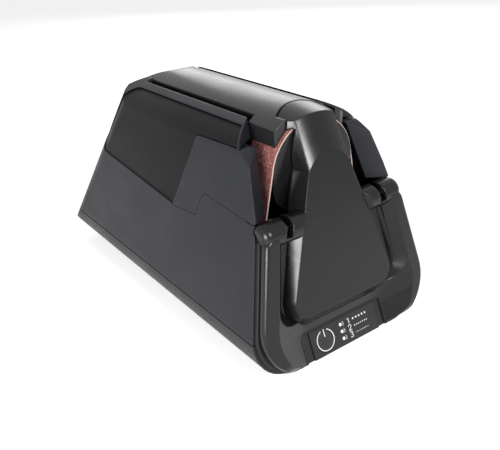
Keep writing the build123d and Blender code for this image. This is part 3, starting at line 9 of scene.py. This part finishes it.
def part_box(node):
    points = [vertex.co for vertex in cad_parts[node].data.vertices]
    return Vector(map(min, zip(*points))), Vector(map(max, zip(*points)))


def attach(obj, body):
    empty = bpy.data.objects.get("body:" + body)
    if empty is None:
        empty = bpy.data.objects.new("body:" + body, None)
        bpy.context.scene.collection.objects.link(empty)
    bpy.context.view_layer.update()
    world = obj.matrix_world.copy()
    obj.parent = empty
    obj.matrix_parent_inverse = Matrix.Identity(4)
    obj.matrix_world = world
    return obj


# Lengths are in metres and angles in radians, unless a comment says otherwise.
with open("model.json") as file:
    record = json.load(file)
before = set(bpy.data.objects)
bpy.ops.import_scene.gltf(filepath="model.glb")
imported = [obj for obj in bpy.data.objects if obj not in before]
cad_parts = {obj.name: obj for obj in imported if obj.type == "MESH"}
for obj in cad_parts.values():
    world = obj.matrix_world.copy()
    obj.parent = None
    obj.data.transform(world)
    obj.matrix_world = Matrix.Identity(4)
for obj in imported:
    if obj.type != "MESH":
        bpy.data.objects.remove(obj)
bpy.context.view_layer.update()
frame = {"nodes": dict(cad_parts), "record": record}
nodes = frame["nodes"]
scene = bpy.context.scene
scene.view_settings.view_transform = "Standard"


# ------------------------------------------------------------------ camera
# Solved from the photograph's edges. Yaw is from +Y towards +X, pitch is downwards.
CAMERA_AT = Vector((-0.2198865, -0.3390605, 0.2343296))
YAW = 0.6173
PITCH = 0.45887
ROLL = -0.04465
LENS_MM = 45.49
SENSOR_MM = 36
NEAR_CLIP = 0.01

ahead = math.cos(PITCH)
forward = Vector((math.sin(YAW) * ahead, math.cos(YAW) * ahead, -math.sin(PITCH)))
level = Vector((math.cos(YAW), -math.sin(YAW), 0))
above = level.cross(forward)
right = level * math.cos(ROLL) + above * math.sin(ROLL)
up = above * math.cos(ROLL) - level * math.sin(ROLL)

camera_data = bpy.data.cameras.new("photo_camera")
camera_data.lens = LENS_MM
camera_data.sensor_width = SENSOR_MM
camera_data.sensor_fit = "HORIZONTAL"
camera_data.clip_start = NEAR_CLIP
camera = bpy.data.objects.new("photo_camera", camera_data)
turn = Matrix((right, up, -forward)).transposed().to_4x4()
camera.matrix_world = Matrix.Translation(CAMERA_AT) @ turn
scene.collection.objects.link(camera)
scene.camera = camera


# ------------------------------------------------------------------ material building
IOR = 1.5
BEVEL_SAMPLES = 6
EDGE_FOUND = (0.004, 0.12)      # how far the rounded normal turns from the plain one at an edge
RGBA_A, RGBA_B, RGBA_RESULT = 6, 7, 2      # the Mix node's colour sockets


def scaled(colour, factor, lift=0.0):
    """A colour times a factor, plus an even lift."""
    return tuple(min(1, c * factor + lift) for c in colour)


class Tree:
    """Short calls for building a node tree."""

    def __init__(self, tree):
        self.tree = tree
        self.tree.nodes.clear()

    def add(self, kind, **settings):
        node = self.tree.nodes.new(kind)
        for key, value in settings.items():
            setattr(node, key, value)
        return node

    def link(self, source, target):
        self.tree.links.new(source, target)

    def value(self, source, target):
        if isinstance(source, (int, float)):
            target.default_value = source
        else:
            self.link(source, target)

    def math(self, operation, a, b=0.0, clamp=False):
        node = self.add("ShaderNodeMath", operation=operation, use_clamp=clamp)
        self.value(a, node.inputs[0])
        self.value(b, node.inputs[1])
        return node.outputs[0]

    def spread(self, source, given, wanted):
        """Map one range of values to another, and hold it at both ends."""
        node = self.add("ShaderNodeMapRange")
        self.link(source, node.inputs["Value"])
        for key, value in zip(("From Min", "From Max", "To Min", "To Max"), (*given, *wanted)):
            node.inputs[key].default_value = value
        return node.outputs["Result"]

    def backdrop_rays(self):
        """1 for the rays that see the white backdrop: camera, glossy and transmission rays."""
        path = self.add("ShaderNodeLightPath")
        camera_ray, glossy_ray, transmission_ray = (
            path.outputs[f"Is {kind} Ray"] for kind in ("Camera", "Glossy", "Transmission"))
        indirect = self.math("ADD", glossy_ray, transmission_ray)
        return self.math("ADD", camera_ray, indirect, clamp=True)


class Material(Tree):
    """A node material: principled shader, coordinates in metres in the object's own frame."""

    def __init__(self, name, colour, roughness, specular=0.5, metallic=0.0, bevel=0.0):
        self.material = bpy.data.materials.new(name)
        self.material.use_nodes = True
        super().__init__(self.material.node_tree)
        self.output = self.add("ShaderNodeOutputMaterial")
        self.shader = self.add("ShaderNodeBsdfPrincipled")
        self.link(self.shader.outputs["BSDF"], self.output.inputs["Surface"])
        self.shader.inputs["Base Color"].default_value = (*colour, 1)
        self.shader.inputs["Roughness"].default_value = roughness
        self.shader.inputs["IOR"].default_value = IOR
        self.shader.inputs["Specular IOR Level"].default_value = specular
        self.shader.inputs["Metallic"].default_value = metallic
        self.place = self.add("ShaderNodeTexCoord").outputs["Object"]
        self.normal = None
        if bevel:
            self.normal = self.rounded_normal(bevel)
            self.link(self.normal, self.shader.inputs["Normal"])

    def rounded_normal(self, radius):
        rounding = self.add("ShaderNodeBevel", samples=BEVEL_SAMPLES)
        rounding.inputs["Radius"].default_value = radius
        return rounding.outputs["Normal"]

    def noise(self, scale, detail=3.0, roughness=0.55, stretch=(1, 1, 1)):
        """Noise of a scale per metre; a stretch below 1 draws it out along that axis."""
        place = self.place
        if stretch != (1, 1, 1):
            mapping = self.add("ShaderNodeMapping")
            mapping.inputs["Scale"].default_value = stretch
            self.link(place, mapping.inputs["Vector"])
            place = mapping.outputs["Vector"]
        node = self.add("ShaderNodeTexNoise")
        node.inputs["Scale"].default_value = scale
        node.inputs["Detail"].default_value = detail
        node.inputs["Roughness"].default_value = roughness
        self.link(place, node.inputs["Vector"])
        return node.outputs["Fac"]

    def coordinate(self, axis):
        split = self.add("ShaderNodeSeparateXYZ")
        self.link(self.place, split.inputs[0])
        return split.outputs[axis]

    def mix(self, factor, a, b):
        node = self.add("ShaderNodeMix", data_type="RGBA")
        self.value(factor, node.inputs["Factor"])
        for colour, socket in ((a, node.inputs[RGBA_A]), (b, node.inputs[RGBA_B])):
            if isinstance(colour, tuple):
                socket.default_value = (*colour, 1)
            else:
                self.link(colour, socket)
        return node.outputs[RGBA_RESULT]

    def edges(self, radius):
        """High along the outer and inner edges, within the radius."""
        rounded = self.rounded_normal(radius)
        plain = self.add("ShaderNodeNewGeometry")
        compare = self.add("ShaderNodeVectorMath", operation="DOT_PRODUCT")
        self.link(rounded, compare.inputs[0])
        self.link(plain.outputs["Normal"], compare.inputs[1])
        turned = self.math("SUBTRACT", 1.0, compare.outputs["Value"])
        return self.spread(turned, EDGE_FOUND, (0.0, 1.0))

    def colour(self, source):
        self.link(source, self.shader.inputs["Base Color"])

    def rough(self, source):
        self.link(source, self.shader.inputs["Roughness"])

    def bump(self, height, distance, strength=1.0):
        node = self.add("ShaderNodeBump")
        node.inputs["Distance"].default_value = distance
        node.inputs["Strength"].default_value = strength
        self.link(height, node.inputs["Height"])
        if self.normal is not None:
            self.link(self.normal, node.inputs["Normal"])
        self.normal = node.outputs["Normal"]
        self.link(self.normal, self.shader.inputs["Normal"])


# ------------------------------------------------------------------ material recipes
GRAIN_SCALE = 2600              # spark-eroded grain of moulded plastic, per metre
SPECK_SCALE = 2080
RIB_PITCH = 0.0011
RIB_SLOPES = (1.15, 0.8)        # rise of the two families of ribs along the side panel
GRIT_SCALE = 1500               # abrasive grains per metre
CLOTH_RIM = (0.00022, 0.00008)  # depth from the belt's cut edge over which its cloth shows
TRACK_SCALE = 160


def moulded(name, colour, roughness, specular, depth=0.00002, bevel=0.0008):
    """Moulded plastic: fine spark-eroded grain, slight cloudiness, paler worn edges."""
    m = Material(name, colour, roughness, specular=specular, bevel=bevel)
    darker = scaled(colour, 0.90)
    lighter = scaled(colour, 1.10)
    rubbed = scaled(colour, 1.5, 0.006)
    tone = m.mix(m.spread(m.noise(38, 4), (0.35, 0.65), (0, 1)), darker, lighter)
    speck = m.spread(m.noise(SPECK_SCALE, 2), (0.42, 0.75), (0, 0.25))
    tone = m.mix(speck, tone, rubbed)
    m.colour(m.mix(m.math("MULTIPLY", m.edges(0.0007), 0.5), tone, rubbed))
    smear = m.noise(55, 5, 0.6, (1, 0.6, 1.4))
    m.rough(m.spread(smear, (0.3, 0.7), (roughness - 0.05, roughness + 0.06)))
    m.bump(m.noise(GRAIN_SCALE, 2.5, 0.6), depth, 0.7)
    return m


def polished(name, colour, roughness, specular=0.5):
    """Glossy moulded plastic with faint handling marks."""
    m = Material(name, colour, roughness, specular=specular, bevel=0.0003)
    lighter = scaled(colour, 1.3, 0.002)
    m.colour(m.mix(m.spread(m.noise(60, 5), (0.35, 0.7), (0, 0.6)), colour, lighter))
    marks = m.noise(220, 6, 0.65, (1, 1, 0.35))
    m.rough(m.spread(marks, (0.35, 0.7), (roughness * 0.8, roughness * 1.5)))
    m.bump(m.noise(500, 2), 0.000004, 0.5)
    return m


def ribbed(name, colour, roughness):
    """Plastic with fine crossed diagonal ribs, as on the let-in side panels, with painted sheen in
    streaky patches on the ribs.
    """
    m = Material(name, colour, roughness, specular=0.07, bevel=0.0004)
    along, height = m.coordinate(1), m.coordinate(2)
    families = []
    for operation, slope in zip(("ADD", "SUBTRACT"), RIB_SLOPES):
        phase = m.math(operation, along, m.math("MULTIPLY", height, slope))
        families.append(m.math("SINE", m.math("MULTIPLY", phase, 2 * math.pi / RIB_PITCH)))
    strong, faint = families
    both = m.math("ADD", m.math("MULTIPLY", strong, 0.7), m.math("MULTIPLY", faint, 0.3))
    ribs = m.spread(both, (-1, 1), (0, 1))
    pale = scaled(colour, 1.7)
    # Painted sheen: streaky noise patches where the rib crests are drawn in the pale colour, which
    # also tones the ribs.
    sheen_patches = m.spread(m.noise(26, 4, 0.6, (1, 0.5, 1.6)), (0.42, 0.68), (0.0, 0.6))
    tone = m.mix(m.math("MULTIPLY", ribs, 0.35), colour, pale)
    m.colour(m.mix(m.math("MULTIPLY", sheen_patches, ribs), tone, pale))
    smear = m.noise(40, 5, 0.6, (1, 0.4, 1.5))
    m.rough(m.spread(smear, (0.3, 0.7), (roughness - 0.07, roughness + 0.08)))
    m.bump(ribs, 0.00008, 0.8)
    m.bump(m.noise(3000, 2), 0.00001, 0.5)
    return m


def rubber(name, colour, roughness):
    """Matt rubber with a little dust in its grain."""
    m = Material(name, colour, roughness, specular=0.3, bevel=0.0008)
    dusty = scaled(colour, 1.8, 0.01)
    m.colour(m.mix(m.spread(m.noise(120, 6, 0.7), (0.45, 0.75), (0, 0.5)), colour, dusty))
    m.rough(m.spread(m.noise(300, 4), (0.3, 0.7), (roughness - 0.1, roughness + 0.1)))
    m.bump(m.noise(1600, 4, 0.65), 0.00005, 0.6)
    return m


def metal(name, colour, roughness):
    """Turned or drawn metal with fine lines and a little uneven shine."""
    m = Material(name, colour, roughness, metallic=1.0, bevel=0.0003)
    lines = m.noise(900, 3, 0.6, (1, 0.04, 1))
    m.colour(m.mix(m.spread(lines, (0.35, 0.65), (0, 1)), scaled(colour, 0.8), colour))
    m.rough(m.spread(m.noise(90, 5), (0.3, 0.7), (roughness * 0.8, roughness * 1.3)))
    m.bump(lines, 0.00001, 0.5)
    return m


def grit(name, colour, backing, middle, half):
    """Bonded abrasive cloth: grains of several shades, and pale cloth on its two cut edges.

    middle and half are the middle and half width of the belt along Y.
    """
    m = Material(name, colour, 0.7, specular=0.35)
    cells = m.add("ShaderNodeTexVoronoi")
    cells.inputs["Scale"].default_value = GRIT_SCALE
    m.link(m.place, cells.inputs["Vector"])
    shade = m.add("ShaderNodeSeparateColor")
    m.link(cells.outputs["Color"], shade.inputs["Color"])
    dark = scaled(colour, 0.45)
    pale = scaled(colour, 1.6, 0.10)
    tone = m.mix(m.spread(shade.outputs["Red"], (0.0, 1.0), (0, 1)), dark, colour)
    tone = m.mix(m.spread(shade.outputs["Green"], (0.72, 1.0), (0, 0.9)), tone, pale)
    tone = m.mix(m.spread(m.noise(60, 4), (0.45, 0.7), (0, 0.35)), tone, pale)
    off = m.math("ABSOLUTE", m.math("SUBTRACT", m.coordinate(1), middle))
    rim = m.spread(off, tuple(half - depth for depth in CLOTH_RIM), (0, 1))
    m.colour(m.mix(rim, tone, backing))
    m.rough(m.spread(shade.outputs["Blue"], (0, 1), (0.5, 0.85)))
    m.bump(m.math("SUBTRACT", 1.0, cells.outputs["Distance"]), 0.00010, 0.8)
    return m


def circuit_board(name, colour):
    """Printed circuit board: solder mask over faint copper tracks."""
    m = Material(name, colour, 0.35, specular=0.5)
    track = m.add("ShaderNodeTexBrick")
    track.inputs["Scale"].default_value = TRACK_SCALE
    track.inputs["Mortar Size"].default_value = 0.08
    m.link(m.place, track.inputs["Vector"])
    paler = scaled(colour, 2.2, 0.01)
    m.colour(m.mix(m.spread(track.outputs["Fac"], (0, 1), (0, 0.6)), colour, paler))
    m.rough(m.spread(m.noise(200, 4), (0.3, 0.7), (0.28, 0.5)))
    m.bump(track.outputs["Fac"], 0.00004, 0.5)
    return m


def lamp(name, colour):
    """Frosted light pipe, lit a little from behind."""
    m = Material(name, colour, 0.3, specular=0.5)
    m.colour(m.mix(m.spread(m.noise(900, 3), (0.35, 0.65), (0, 1)), scaled(colour, 0.85), colour))
    m.rough(m.spread(m.noise(400, 3), (0.3, 0.7), (0.25, 0.45)))
    m.shader.inputs["Emission Color"].default_value = (*colour, 1)
    m.shader.inputs["Emission Strength"].default_value = 0.25
    return m


def white_print(name):
    """Pale print, a little uneven and rubbed."""
    m = Material(name, (0.70, 0.70, 0.69), 0.45, specular=0.3)
    rubbed = m.spread(m.noise(900, 4), (0.35, 0.75), (0, 0.6))
    m.colour(m.mix(rubbed, (0.66, 0.66, 0.65), (0.46, 0.46, 0.45)))
    m.rough(m.spread(m.noise(500, 3), (0.3, 0.7), (0.38, 0.6)))
    m.bump(m.noise(2400, 3), 0.00002, 0.5)
    return m


belt_low, belt_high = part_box("abrasive_belt")
belt_middle = (belt_low.y + belt_high.y) / 2
belt_half = (belt_high.y - belt_low.y) / 2

SIDE = (0.0110, 0.0116, 0.0152)
PANEL = (0.0060, 0.0061, 0.0066)
BEZEL = (0.0042, 0.0042, 0.0045)
COVER = (0.012, 0.012, 0.013)
GRAINS = (0.24, 0.080, 0.072)
CLOTH = (0.50, 0.38, 0.34)

slots = {
    "side_plastic": moulded("side_plastic", SIDE, 0.42, 0.21),
    "panel_plastic": ribbed("panel_plastic", PANEL, 0.34),
    "bezel_plastic": moulded("bezel_plastic", BEZEL, 0.235, 0.30, depth=0.000010, bevel=0.0011),
    "cover_plastic": moulded("cover_plastic", COVER, 0.26, 0.34, depth=0.000012, bevel=0.0010),
    "inner_plastic": moulded("inner_plastic", (0.010, 0.010, 0.0107), 0.5, 0.3),
    "foot_rubber": rubber("foot_rubber", (0.014, 0.014, 0.014), 0.75),
    "abrasive": grit("abrasive", GRAINS, CLOTH, belt_middle, belt_half),
    "tyre_rubber": rubber("tyre_rubber", (0.02, 0.02, 0.02), 0.6),
    "disc_plastic": polished("disc_plastic", (0.004, 0.004, 0.0045), 0.18, 0.3),
    "lens_plastic": polished("lens_plastic", (0.008, 0.008, 0.009), 0.10),
    "key_plastic": polished("key_plastic", (0.010, 0.010, 0.011), 0.22),
    "light_pipe": lamp("light_pipe", (0.85, 0.86, 0.84)),
    "steel": metal("steel", (0.56, 0.56, 0.57), 0.28),
    "spring_steel": metal("spring_steel", (0.42, 0.42, 0.43), 0.35),
    "armature_steel": metal("armature_steel", (0.25, 0.25, 0.26), 0.5),
    "brass": metal("brass", (0.72, 0.52, 0.24), 0.3),
    "board": circuit_board("board", (0.010, 0.075, 0.03)),
    "parts": moulded("parts", (0.03, 0.03, 0.035), 0.4, 0.4),
    "ceramic_rod": polished("ceramic_rod", (0.05, 0.05, 0.05), 0.25),
    "aluminium": metal("aluminium", (0.75, 0.75, 0.77), 0.3),
}

for part in frame["record"]["subparts"]:
    mesh = nodes[part["node"]].data
    mesh.materials.clear()
    mesh.materials.append(slots[part["material_slot"]].material)


# ------------------------------------------------------------------ marks on the control panel
PRINT_FOOT = 0.00001            # how far the print's lowest points stand off the face
PRINT_HEIGHT = 0.00006
PRINT_TOP = 0.8                 # width of a stroke's top, as a share of its foot
DOT_TOP = 0.85
STROKE_PROFILE = (
    (-1.0, PRINT_FOOT), (-PRINT_TOP, PRINT_HEIGHT), (PRINT_TOP, PRINT_HEIGHT), (1.0, PRINT_FOOT),
)
CAP_STEPS = 6
DOT_SIDES = 16
FACING_FRONT = -0.3             # a normal's y below this counts as the front


def front_face(node):
    """Centre and outward normal of a node's largest flat front face."""
    groups = {}
    for polygon in nodes[node].data.polygons:
        if polygon.normal.y < FACING_FRONT:
            offset = round(polygon.normal.dot(polygon.center), 4)
            plane = tuple(round(c, 2) for c in polygon.normal) + (offset,)
            area, weighted = groups.get(plane, (0.0, Vector()))
            groups[plane] = (area + polygon.area, weighted + polygon.center * polygon.area)
    plane, (area, weighted) = max(groups.items(), key=lambda item: item[1][0])
    return weighted / area, Vector(plane[:3]).normalized()


class Print:
    """Raised print on a flat face: strokes laid out in metres from a point on it."""

    def __init__(self, origin, normal):
        self.origin = origin
        self.normal = normal
        self.across = Vector((1, 0, 0))
        self.along = normal.cross(self.across).normalized()
        if self.along.z < 0:
            self.along = -self.along
        self.edit = bmesh.new()

    def vertex(self, u, v, out):
        place = self.origin + self.across * u + self.along * v + self.normal * out
        return self.edit.verts.new(place)

    def stroke(self, points, width):
        """A line of even width through the points, with rounded ends."""
        flat = [Vector(p) for p in points]
        last = len(flat) - 1
        sides = []
        for i in range(last + 1):
            heading = (flat[min(i + 1, last)] - flat[max(i - 1, 0)]).normalized()
            sides.append(Vector((-heading.y, heading.x)) * width / 2)
        rows = []
        for point, side in zip(flat, sides):
            row = []
            for reach, out in STROKE_PROFILE:
                place = point + side * reach
                row.append(self.vertex(place.x, place.y, out))
            rows.append(row)
        for one, two in zip(rows, rows[1:]):
            for k in range(len(STROKE_PROFILE) - 1):
                self.edit.faces.new((one[k], one[k + 1], two[k + 1], two[k]))
        for end, inner in ((0, 1), (-1, -2)):
            self.cap(rows[end], sides[end], flat[end], flat[end] - flat[inner], width)

    def cap(self, row, side, point, outward, width):
        """The rounded end of a stroke."""
        tip = outward.normalized() * width / 2
        rim = [row[1]]
        for step in range(1, CAP_STEPS):
            angle = math.pi * step / CAP_STEPS
            place = point - side * PRINT_TOP * math.cos(angle) + tip * PRINT_TOP * math.sin(angle)
            rim.append(self.vertex(place.x, place.y, PRINT_HEIGHT))
        rim.append(row[2])
        self.edit.faces.new(rim)

    def arc(self, u, v, radius, start, end, width, steps):
        """Part of a circle, angles in degrees anticlockwise from the right."""
        turns = [math.radians(start + (end - start) * i / steps) for i in range(steps + 1)]
        self.stroke([(u + radius * math.cos(t), v + radius * math.sin(t)) for t in turns], width)

    def dot(self, u, v, radius):
        """A flat round dot with a low rim."""
        rim, top = [], []
        reach = radius * DOT_TOP
        for i in range(DOT_SIDES):
            t = 2 * math.pi * i / DOT_SIDES
            rim.append(self.vertex(u + radius * math.cos(t), v + radius * math.sin(t), PRINT_FOOT))
            top.append(self.vertex(u + reach * math.cos(t), v + reach * math.sin(t), PRINT_HEIGHT))
        self.edit.faces.new(top)
        for i in range(DOT_SIDES):
            self.edit.faces.new((rim[i - 1], rim[i], top[i], top[i - 1]))

    def finish(self, name, body, material):
        """Turn the faces outward and make the piece, riding on a body."""
        bmesh.ops.recalc_face_normals(self.edit, faces=self.edit.faces)
        for face in self.edit.faces:
            if face.normal.dot(self.normal) < 0:
                face.normal_flip()
        mesh = bpy.data.meshes.new(name)
        self.edit.to_mesh(mesh)
        self.edit.free()
        mesh.materials.append(material)
        piece = bpy.data.objects.new(name, mesh)
        scene.collection.objects.link(piece)
        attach(piece, body)


ink = white_print("white_print").material

# A broken ring with a bar through its gap, on the power key.
KEY_LINE = 0.00058
RING_MARGIN = 0.00055           # from the key's rim to the middle of the ring's line
RING_GAP = 46                   # degrees, at the top
RING_STEPS = 84
BAR_FOOT = 0.33                 # the bar's lower end, as a share of the ring's radius

key_centre, key_normal = front_face("power_key")
key_low, key_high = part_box("power_key")
ring_radius = (key_high.x - key_low.x) / 2 - RING_MARGIN
key_print = Print(Vector(((key_low.x + key_high.x) / 2, key_centre.y, key_centre.z)), key_normal)
key_print.arc(0, 0, ring_radius, 90 + RING_GAP // 2, 450 - RING_GAP // 2, KEY_LINE, RING_STEPS)
key_print.stroke([(0, ring_radius + KEY_LINE / 3), (0, ring_radius * BAR_FOOT)], KEY_LINE)
key_print.finish("power_mark", "power_key", ink)

# A row for each lamp: a short arc beside it, a number, and dots of a coarse, middle or fine grit.
LAMP_PITCH = 0.0043
ARC_LINE = 0.00034
ARC_CENTRE = 0.4                # the arc's centre and radius, in lamp radii
ARC_RADIUS = 1.9
ARC_HALF_ANGLE = 42             # degrees
ARC_STEPS = 10
DIGIT_AT = 0.0064
DIGIT_HEIGHT = 0.0034
DIGIT_LINE = 0.00046
DOTS_FROM = 0.0102
DOTS_OVER = 0.0098
DOTS = {1: (5, 0.00062), 2: (7, 0.00042), 3: (10, 0.00026)}      # how many, and their radius
DIGITS = {
    1: [[(-0.26, 0.30), (0.06, 0.50), (0.06, -0.50)]],
    2: [[(-0.30, 0.22), (-0.22, 0.40), (0.0, 0.50), (0.22, 0.42), (0.30, 0.22), (0.22, 0.02),
         (-0.32, -0.50)], [(-0.32, -0.50), (0.32, -0.50)]],
    3: [[(-0.28, 0.38), (0.0, 0.50), (0.24, 0.40), (0.28, 0.22), (0.18, 0.06), (-0.06, 0.02)],
        [(-0.06, 0.02), (0.20, -0.04), (0.32, -0.24), (0.24, -0.42), (0.0, -0.50), (-0.30, -0.38)]],
}

lens_centre, lens_normal = front_face("panel_lens")
lamp_low, lamp_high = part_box("light_pipes")
lamp_radius = (lamp_high.x - lamp_low.x) / 2
row_start = Vector(((lamp_low.x + lamp_high.x) / 2, key_centre.y, key_centre.z))
row_start += lens_normal * (lens_centre - row_start).dot(lens_normal)
panel_print = Print(row_start, lens_normal)
for digit, (count, dot_radius) in DOTS.items():
    v = (2 - digit) * LAMP_PITCH
    panel_print.arc(lamp_radius * ARC_CENTRE, v, lamp_radius * ARC_RADIUS,
                    -ARC_HALF_ANGLE, ARC_HALF_ANGLE, ARC_LINE, ARC_STEPS)
    for run in DIGITS[digit]:
        points = [(DIGIT_AT + x * DIGIT_HEIGHT, v + y * DIGIT_HEIGHT) for x, y in run]
        panel_print.stroke(points, DIGIT_LINE)
    for i in range(count):
        panel_print.dot(DOTS_FROM + DOTS_OVER * i / (count - 1), v, dot_radius)
panel_print.finish("panel_marks", "housing", ink)


# ------------------------------------------------------------------ floor
FLOOR_HALF = 6.0
FLOOR_CELLS = 8
FLOOR_GLOW = 0.56               # added only for the rays that see the backdrop

floor_mesh = bpy.data.meshes.new("floor")
edit = bmesh.new()
bmesh.ops.create_grid(edit, x_segments=FLOOR_CELLS, y_segments=FLOOR_CELLS, size=FLOOR_HALF)
edit.to_mesh(floor_mesh)
edit.free()
floor = bpy.data.objects.new("floor", floor_mesh)
scene.collection.objects.link(floor)

paper = Material("floor_paper", (0.82, 0.82, 0.82), 0.85, specular=0.2)
shades = paper.spread(paper.noise(3, 3), (0.3, 0.7), (0, 1))
paper.colour(paper.mix(shades, (0.81, 0.81, 0.81), (0.83, 0.83, 0.83)))
glow = paper.add("ShaderNodeEmission")
paper.link(paper.math("MULTIPLY", paper.backdrop_rays(), FLOOR_GLOW), glow.inputs["Strength"])
both = paper.add("ShaderNodeAddShader")
paper.link(paper.shader.outputs["BSDF"], both.inputs[0])
paper.link(glow.outputs["Emission"], both.inputs[1])
paper.link(both.outputs[0], paper.output.inputs["Surface"])
floor_mesh.materials.append(paper.material)


# ------------------------------------------------------------------ world
WORLD_LIGHT = 0.32              # on the object
WORLD_SEEN = 1.0                # as a backdrop

world = bpy.data.worlds.new("studio")
world.use_nodes = True
scene.world = world
sky = Tree(world.node_tree)
sky_out = sky.add("ShaderNodeOutputWorld")
sky_light = sky.add("ShaderNodeBackground")
sky_light.inputs["Color"].default_value = (1, 1, 1, 1)
strength = sky.spread(sky.backdrop_rays(), (0, 1), (WORLD_LIGHT, WORLD_SEEN))
sky.link(strength, sky_light.inputs["Strength"])
sky.link(sky_light.outputs["Background"], sky_out.inputs["Surface"])


# ------------------------------------------------------------------ lights
OBJECT_MIDDLE = (0, -0.02, 0.07)
LEFT_SLOPE = (-0.032, -0.112, 0.065)      # the two pillar faces that shine in the photograph
UPPER_FACE = (-0.012, -0.105, 0.118)


def softbox(name, towards, distance, width, height, radiance, aim=OBJECT_MIDDLE):
    """A rectangular soft light in a given direction from its aim, of a given brightness."""
    light = bpy.data.lights.new(name, "AREA")
    light.shape = "RECTANGLE"
    light.size = width
    light.size_y = height
    light.energy = radiance * width * height * math.pi
    piece = bpy.data.objects.new(name, light)
    centre = Vector(aim) + Vector(towards).normalized() * distance
    facing = (centre - Vector(aim)).to_track_quat("Z", "Y")
    piece.matrix_world = Matrix.Translation(centre) @ facing.to_matrix().to_4x4()
    piece.visible_camera = False
    scene.collection.objects.link(piece)


softbox("front_left_box", (-0.91, -0.37, 0.17), 0.8, 0.34, 0.26, 30, aim=LEFT_SLOPE)
softbox("front_box", (0.0, -0.88, 0.47), 0.9, 0.22, 0.20, 46, aim=UPPER_FACE)
softbox("rear_box", (0.60, 0.70, 0.38), 1.3, 0.9, 0.5, 2.6)
softbox("left_box", (-0.9, 0.15, 0.55), 1.4, 0.6, 0.5, 0.8)
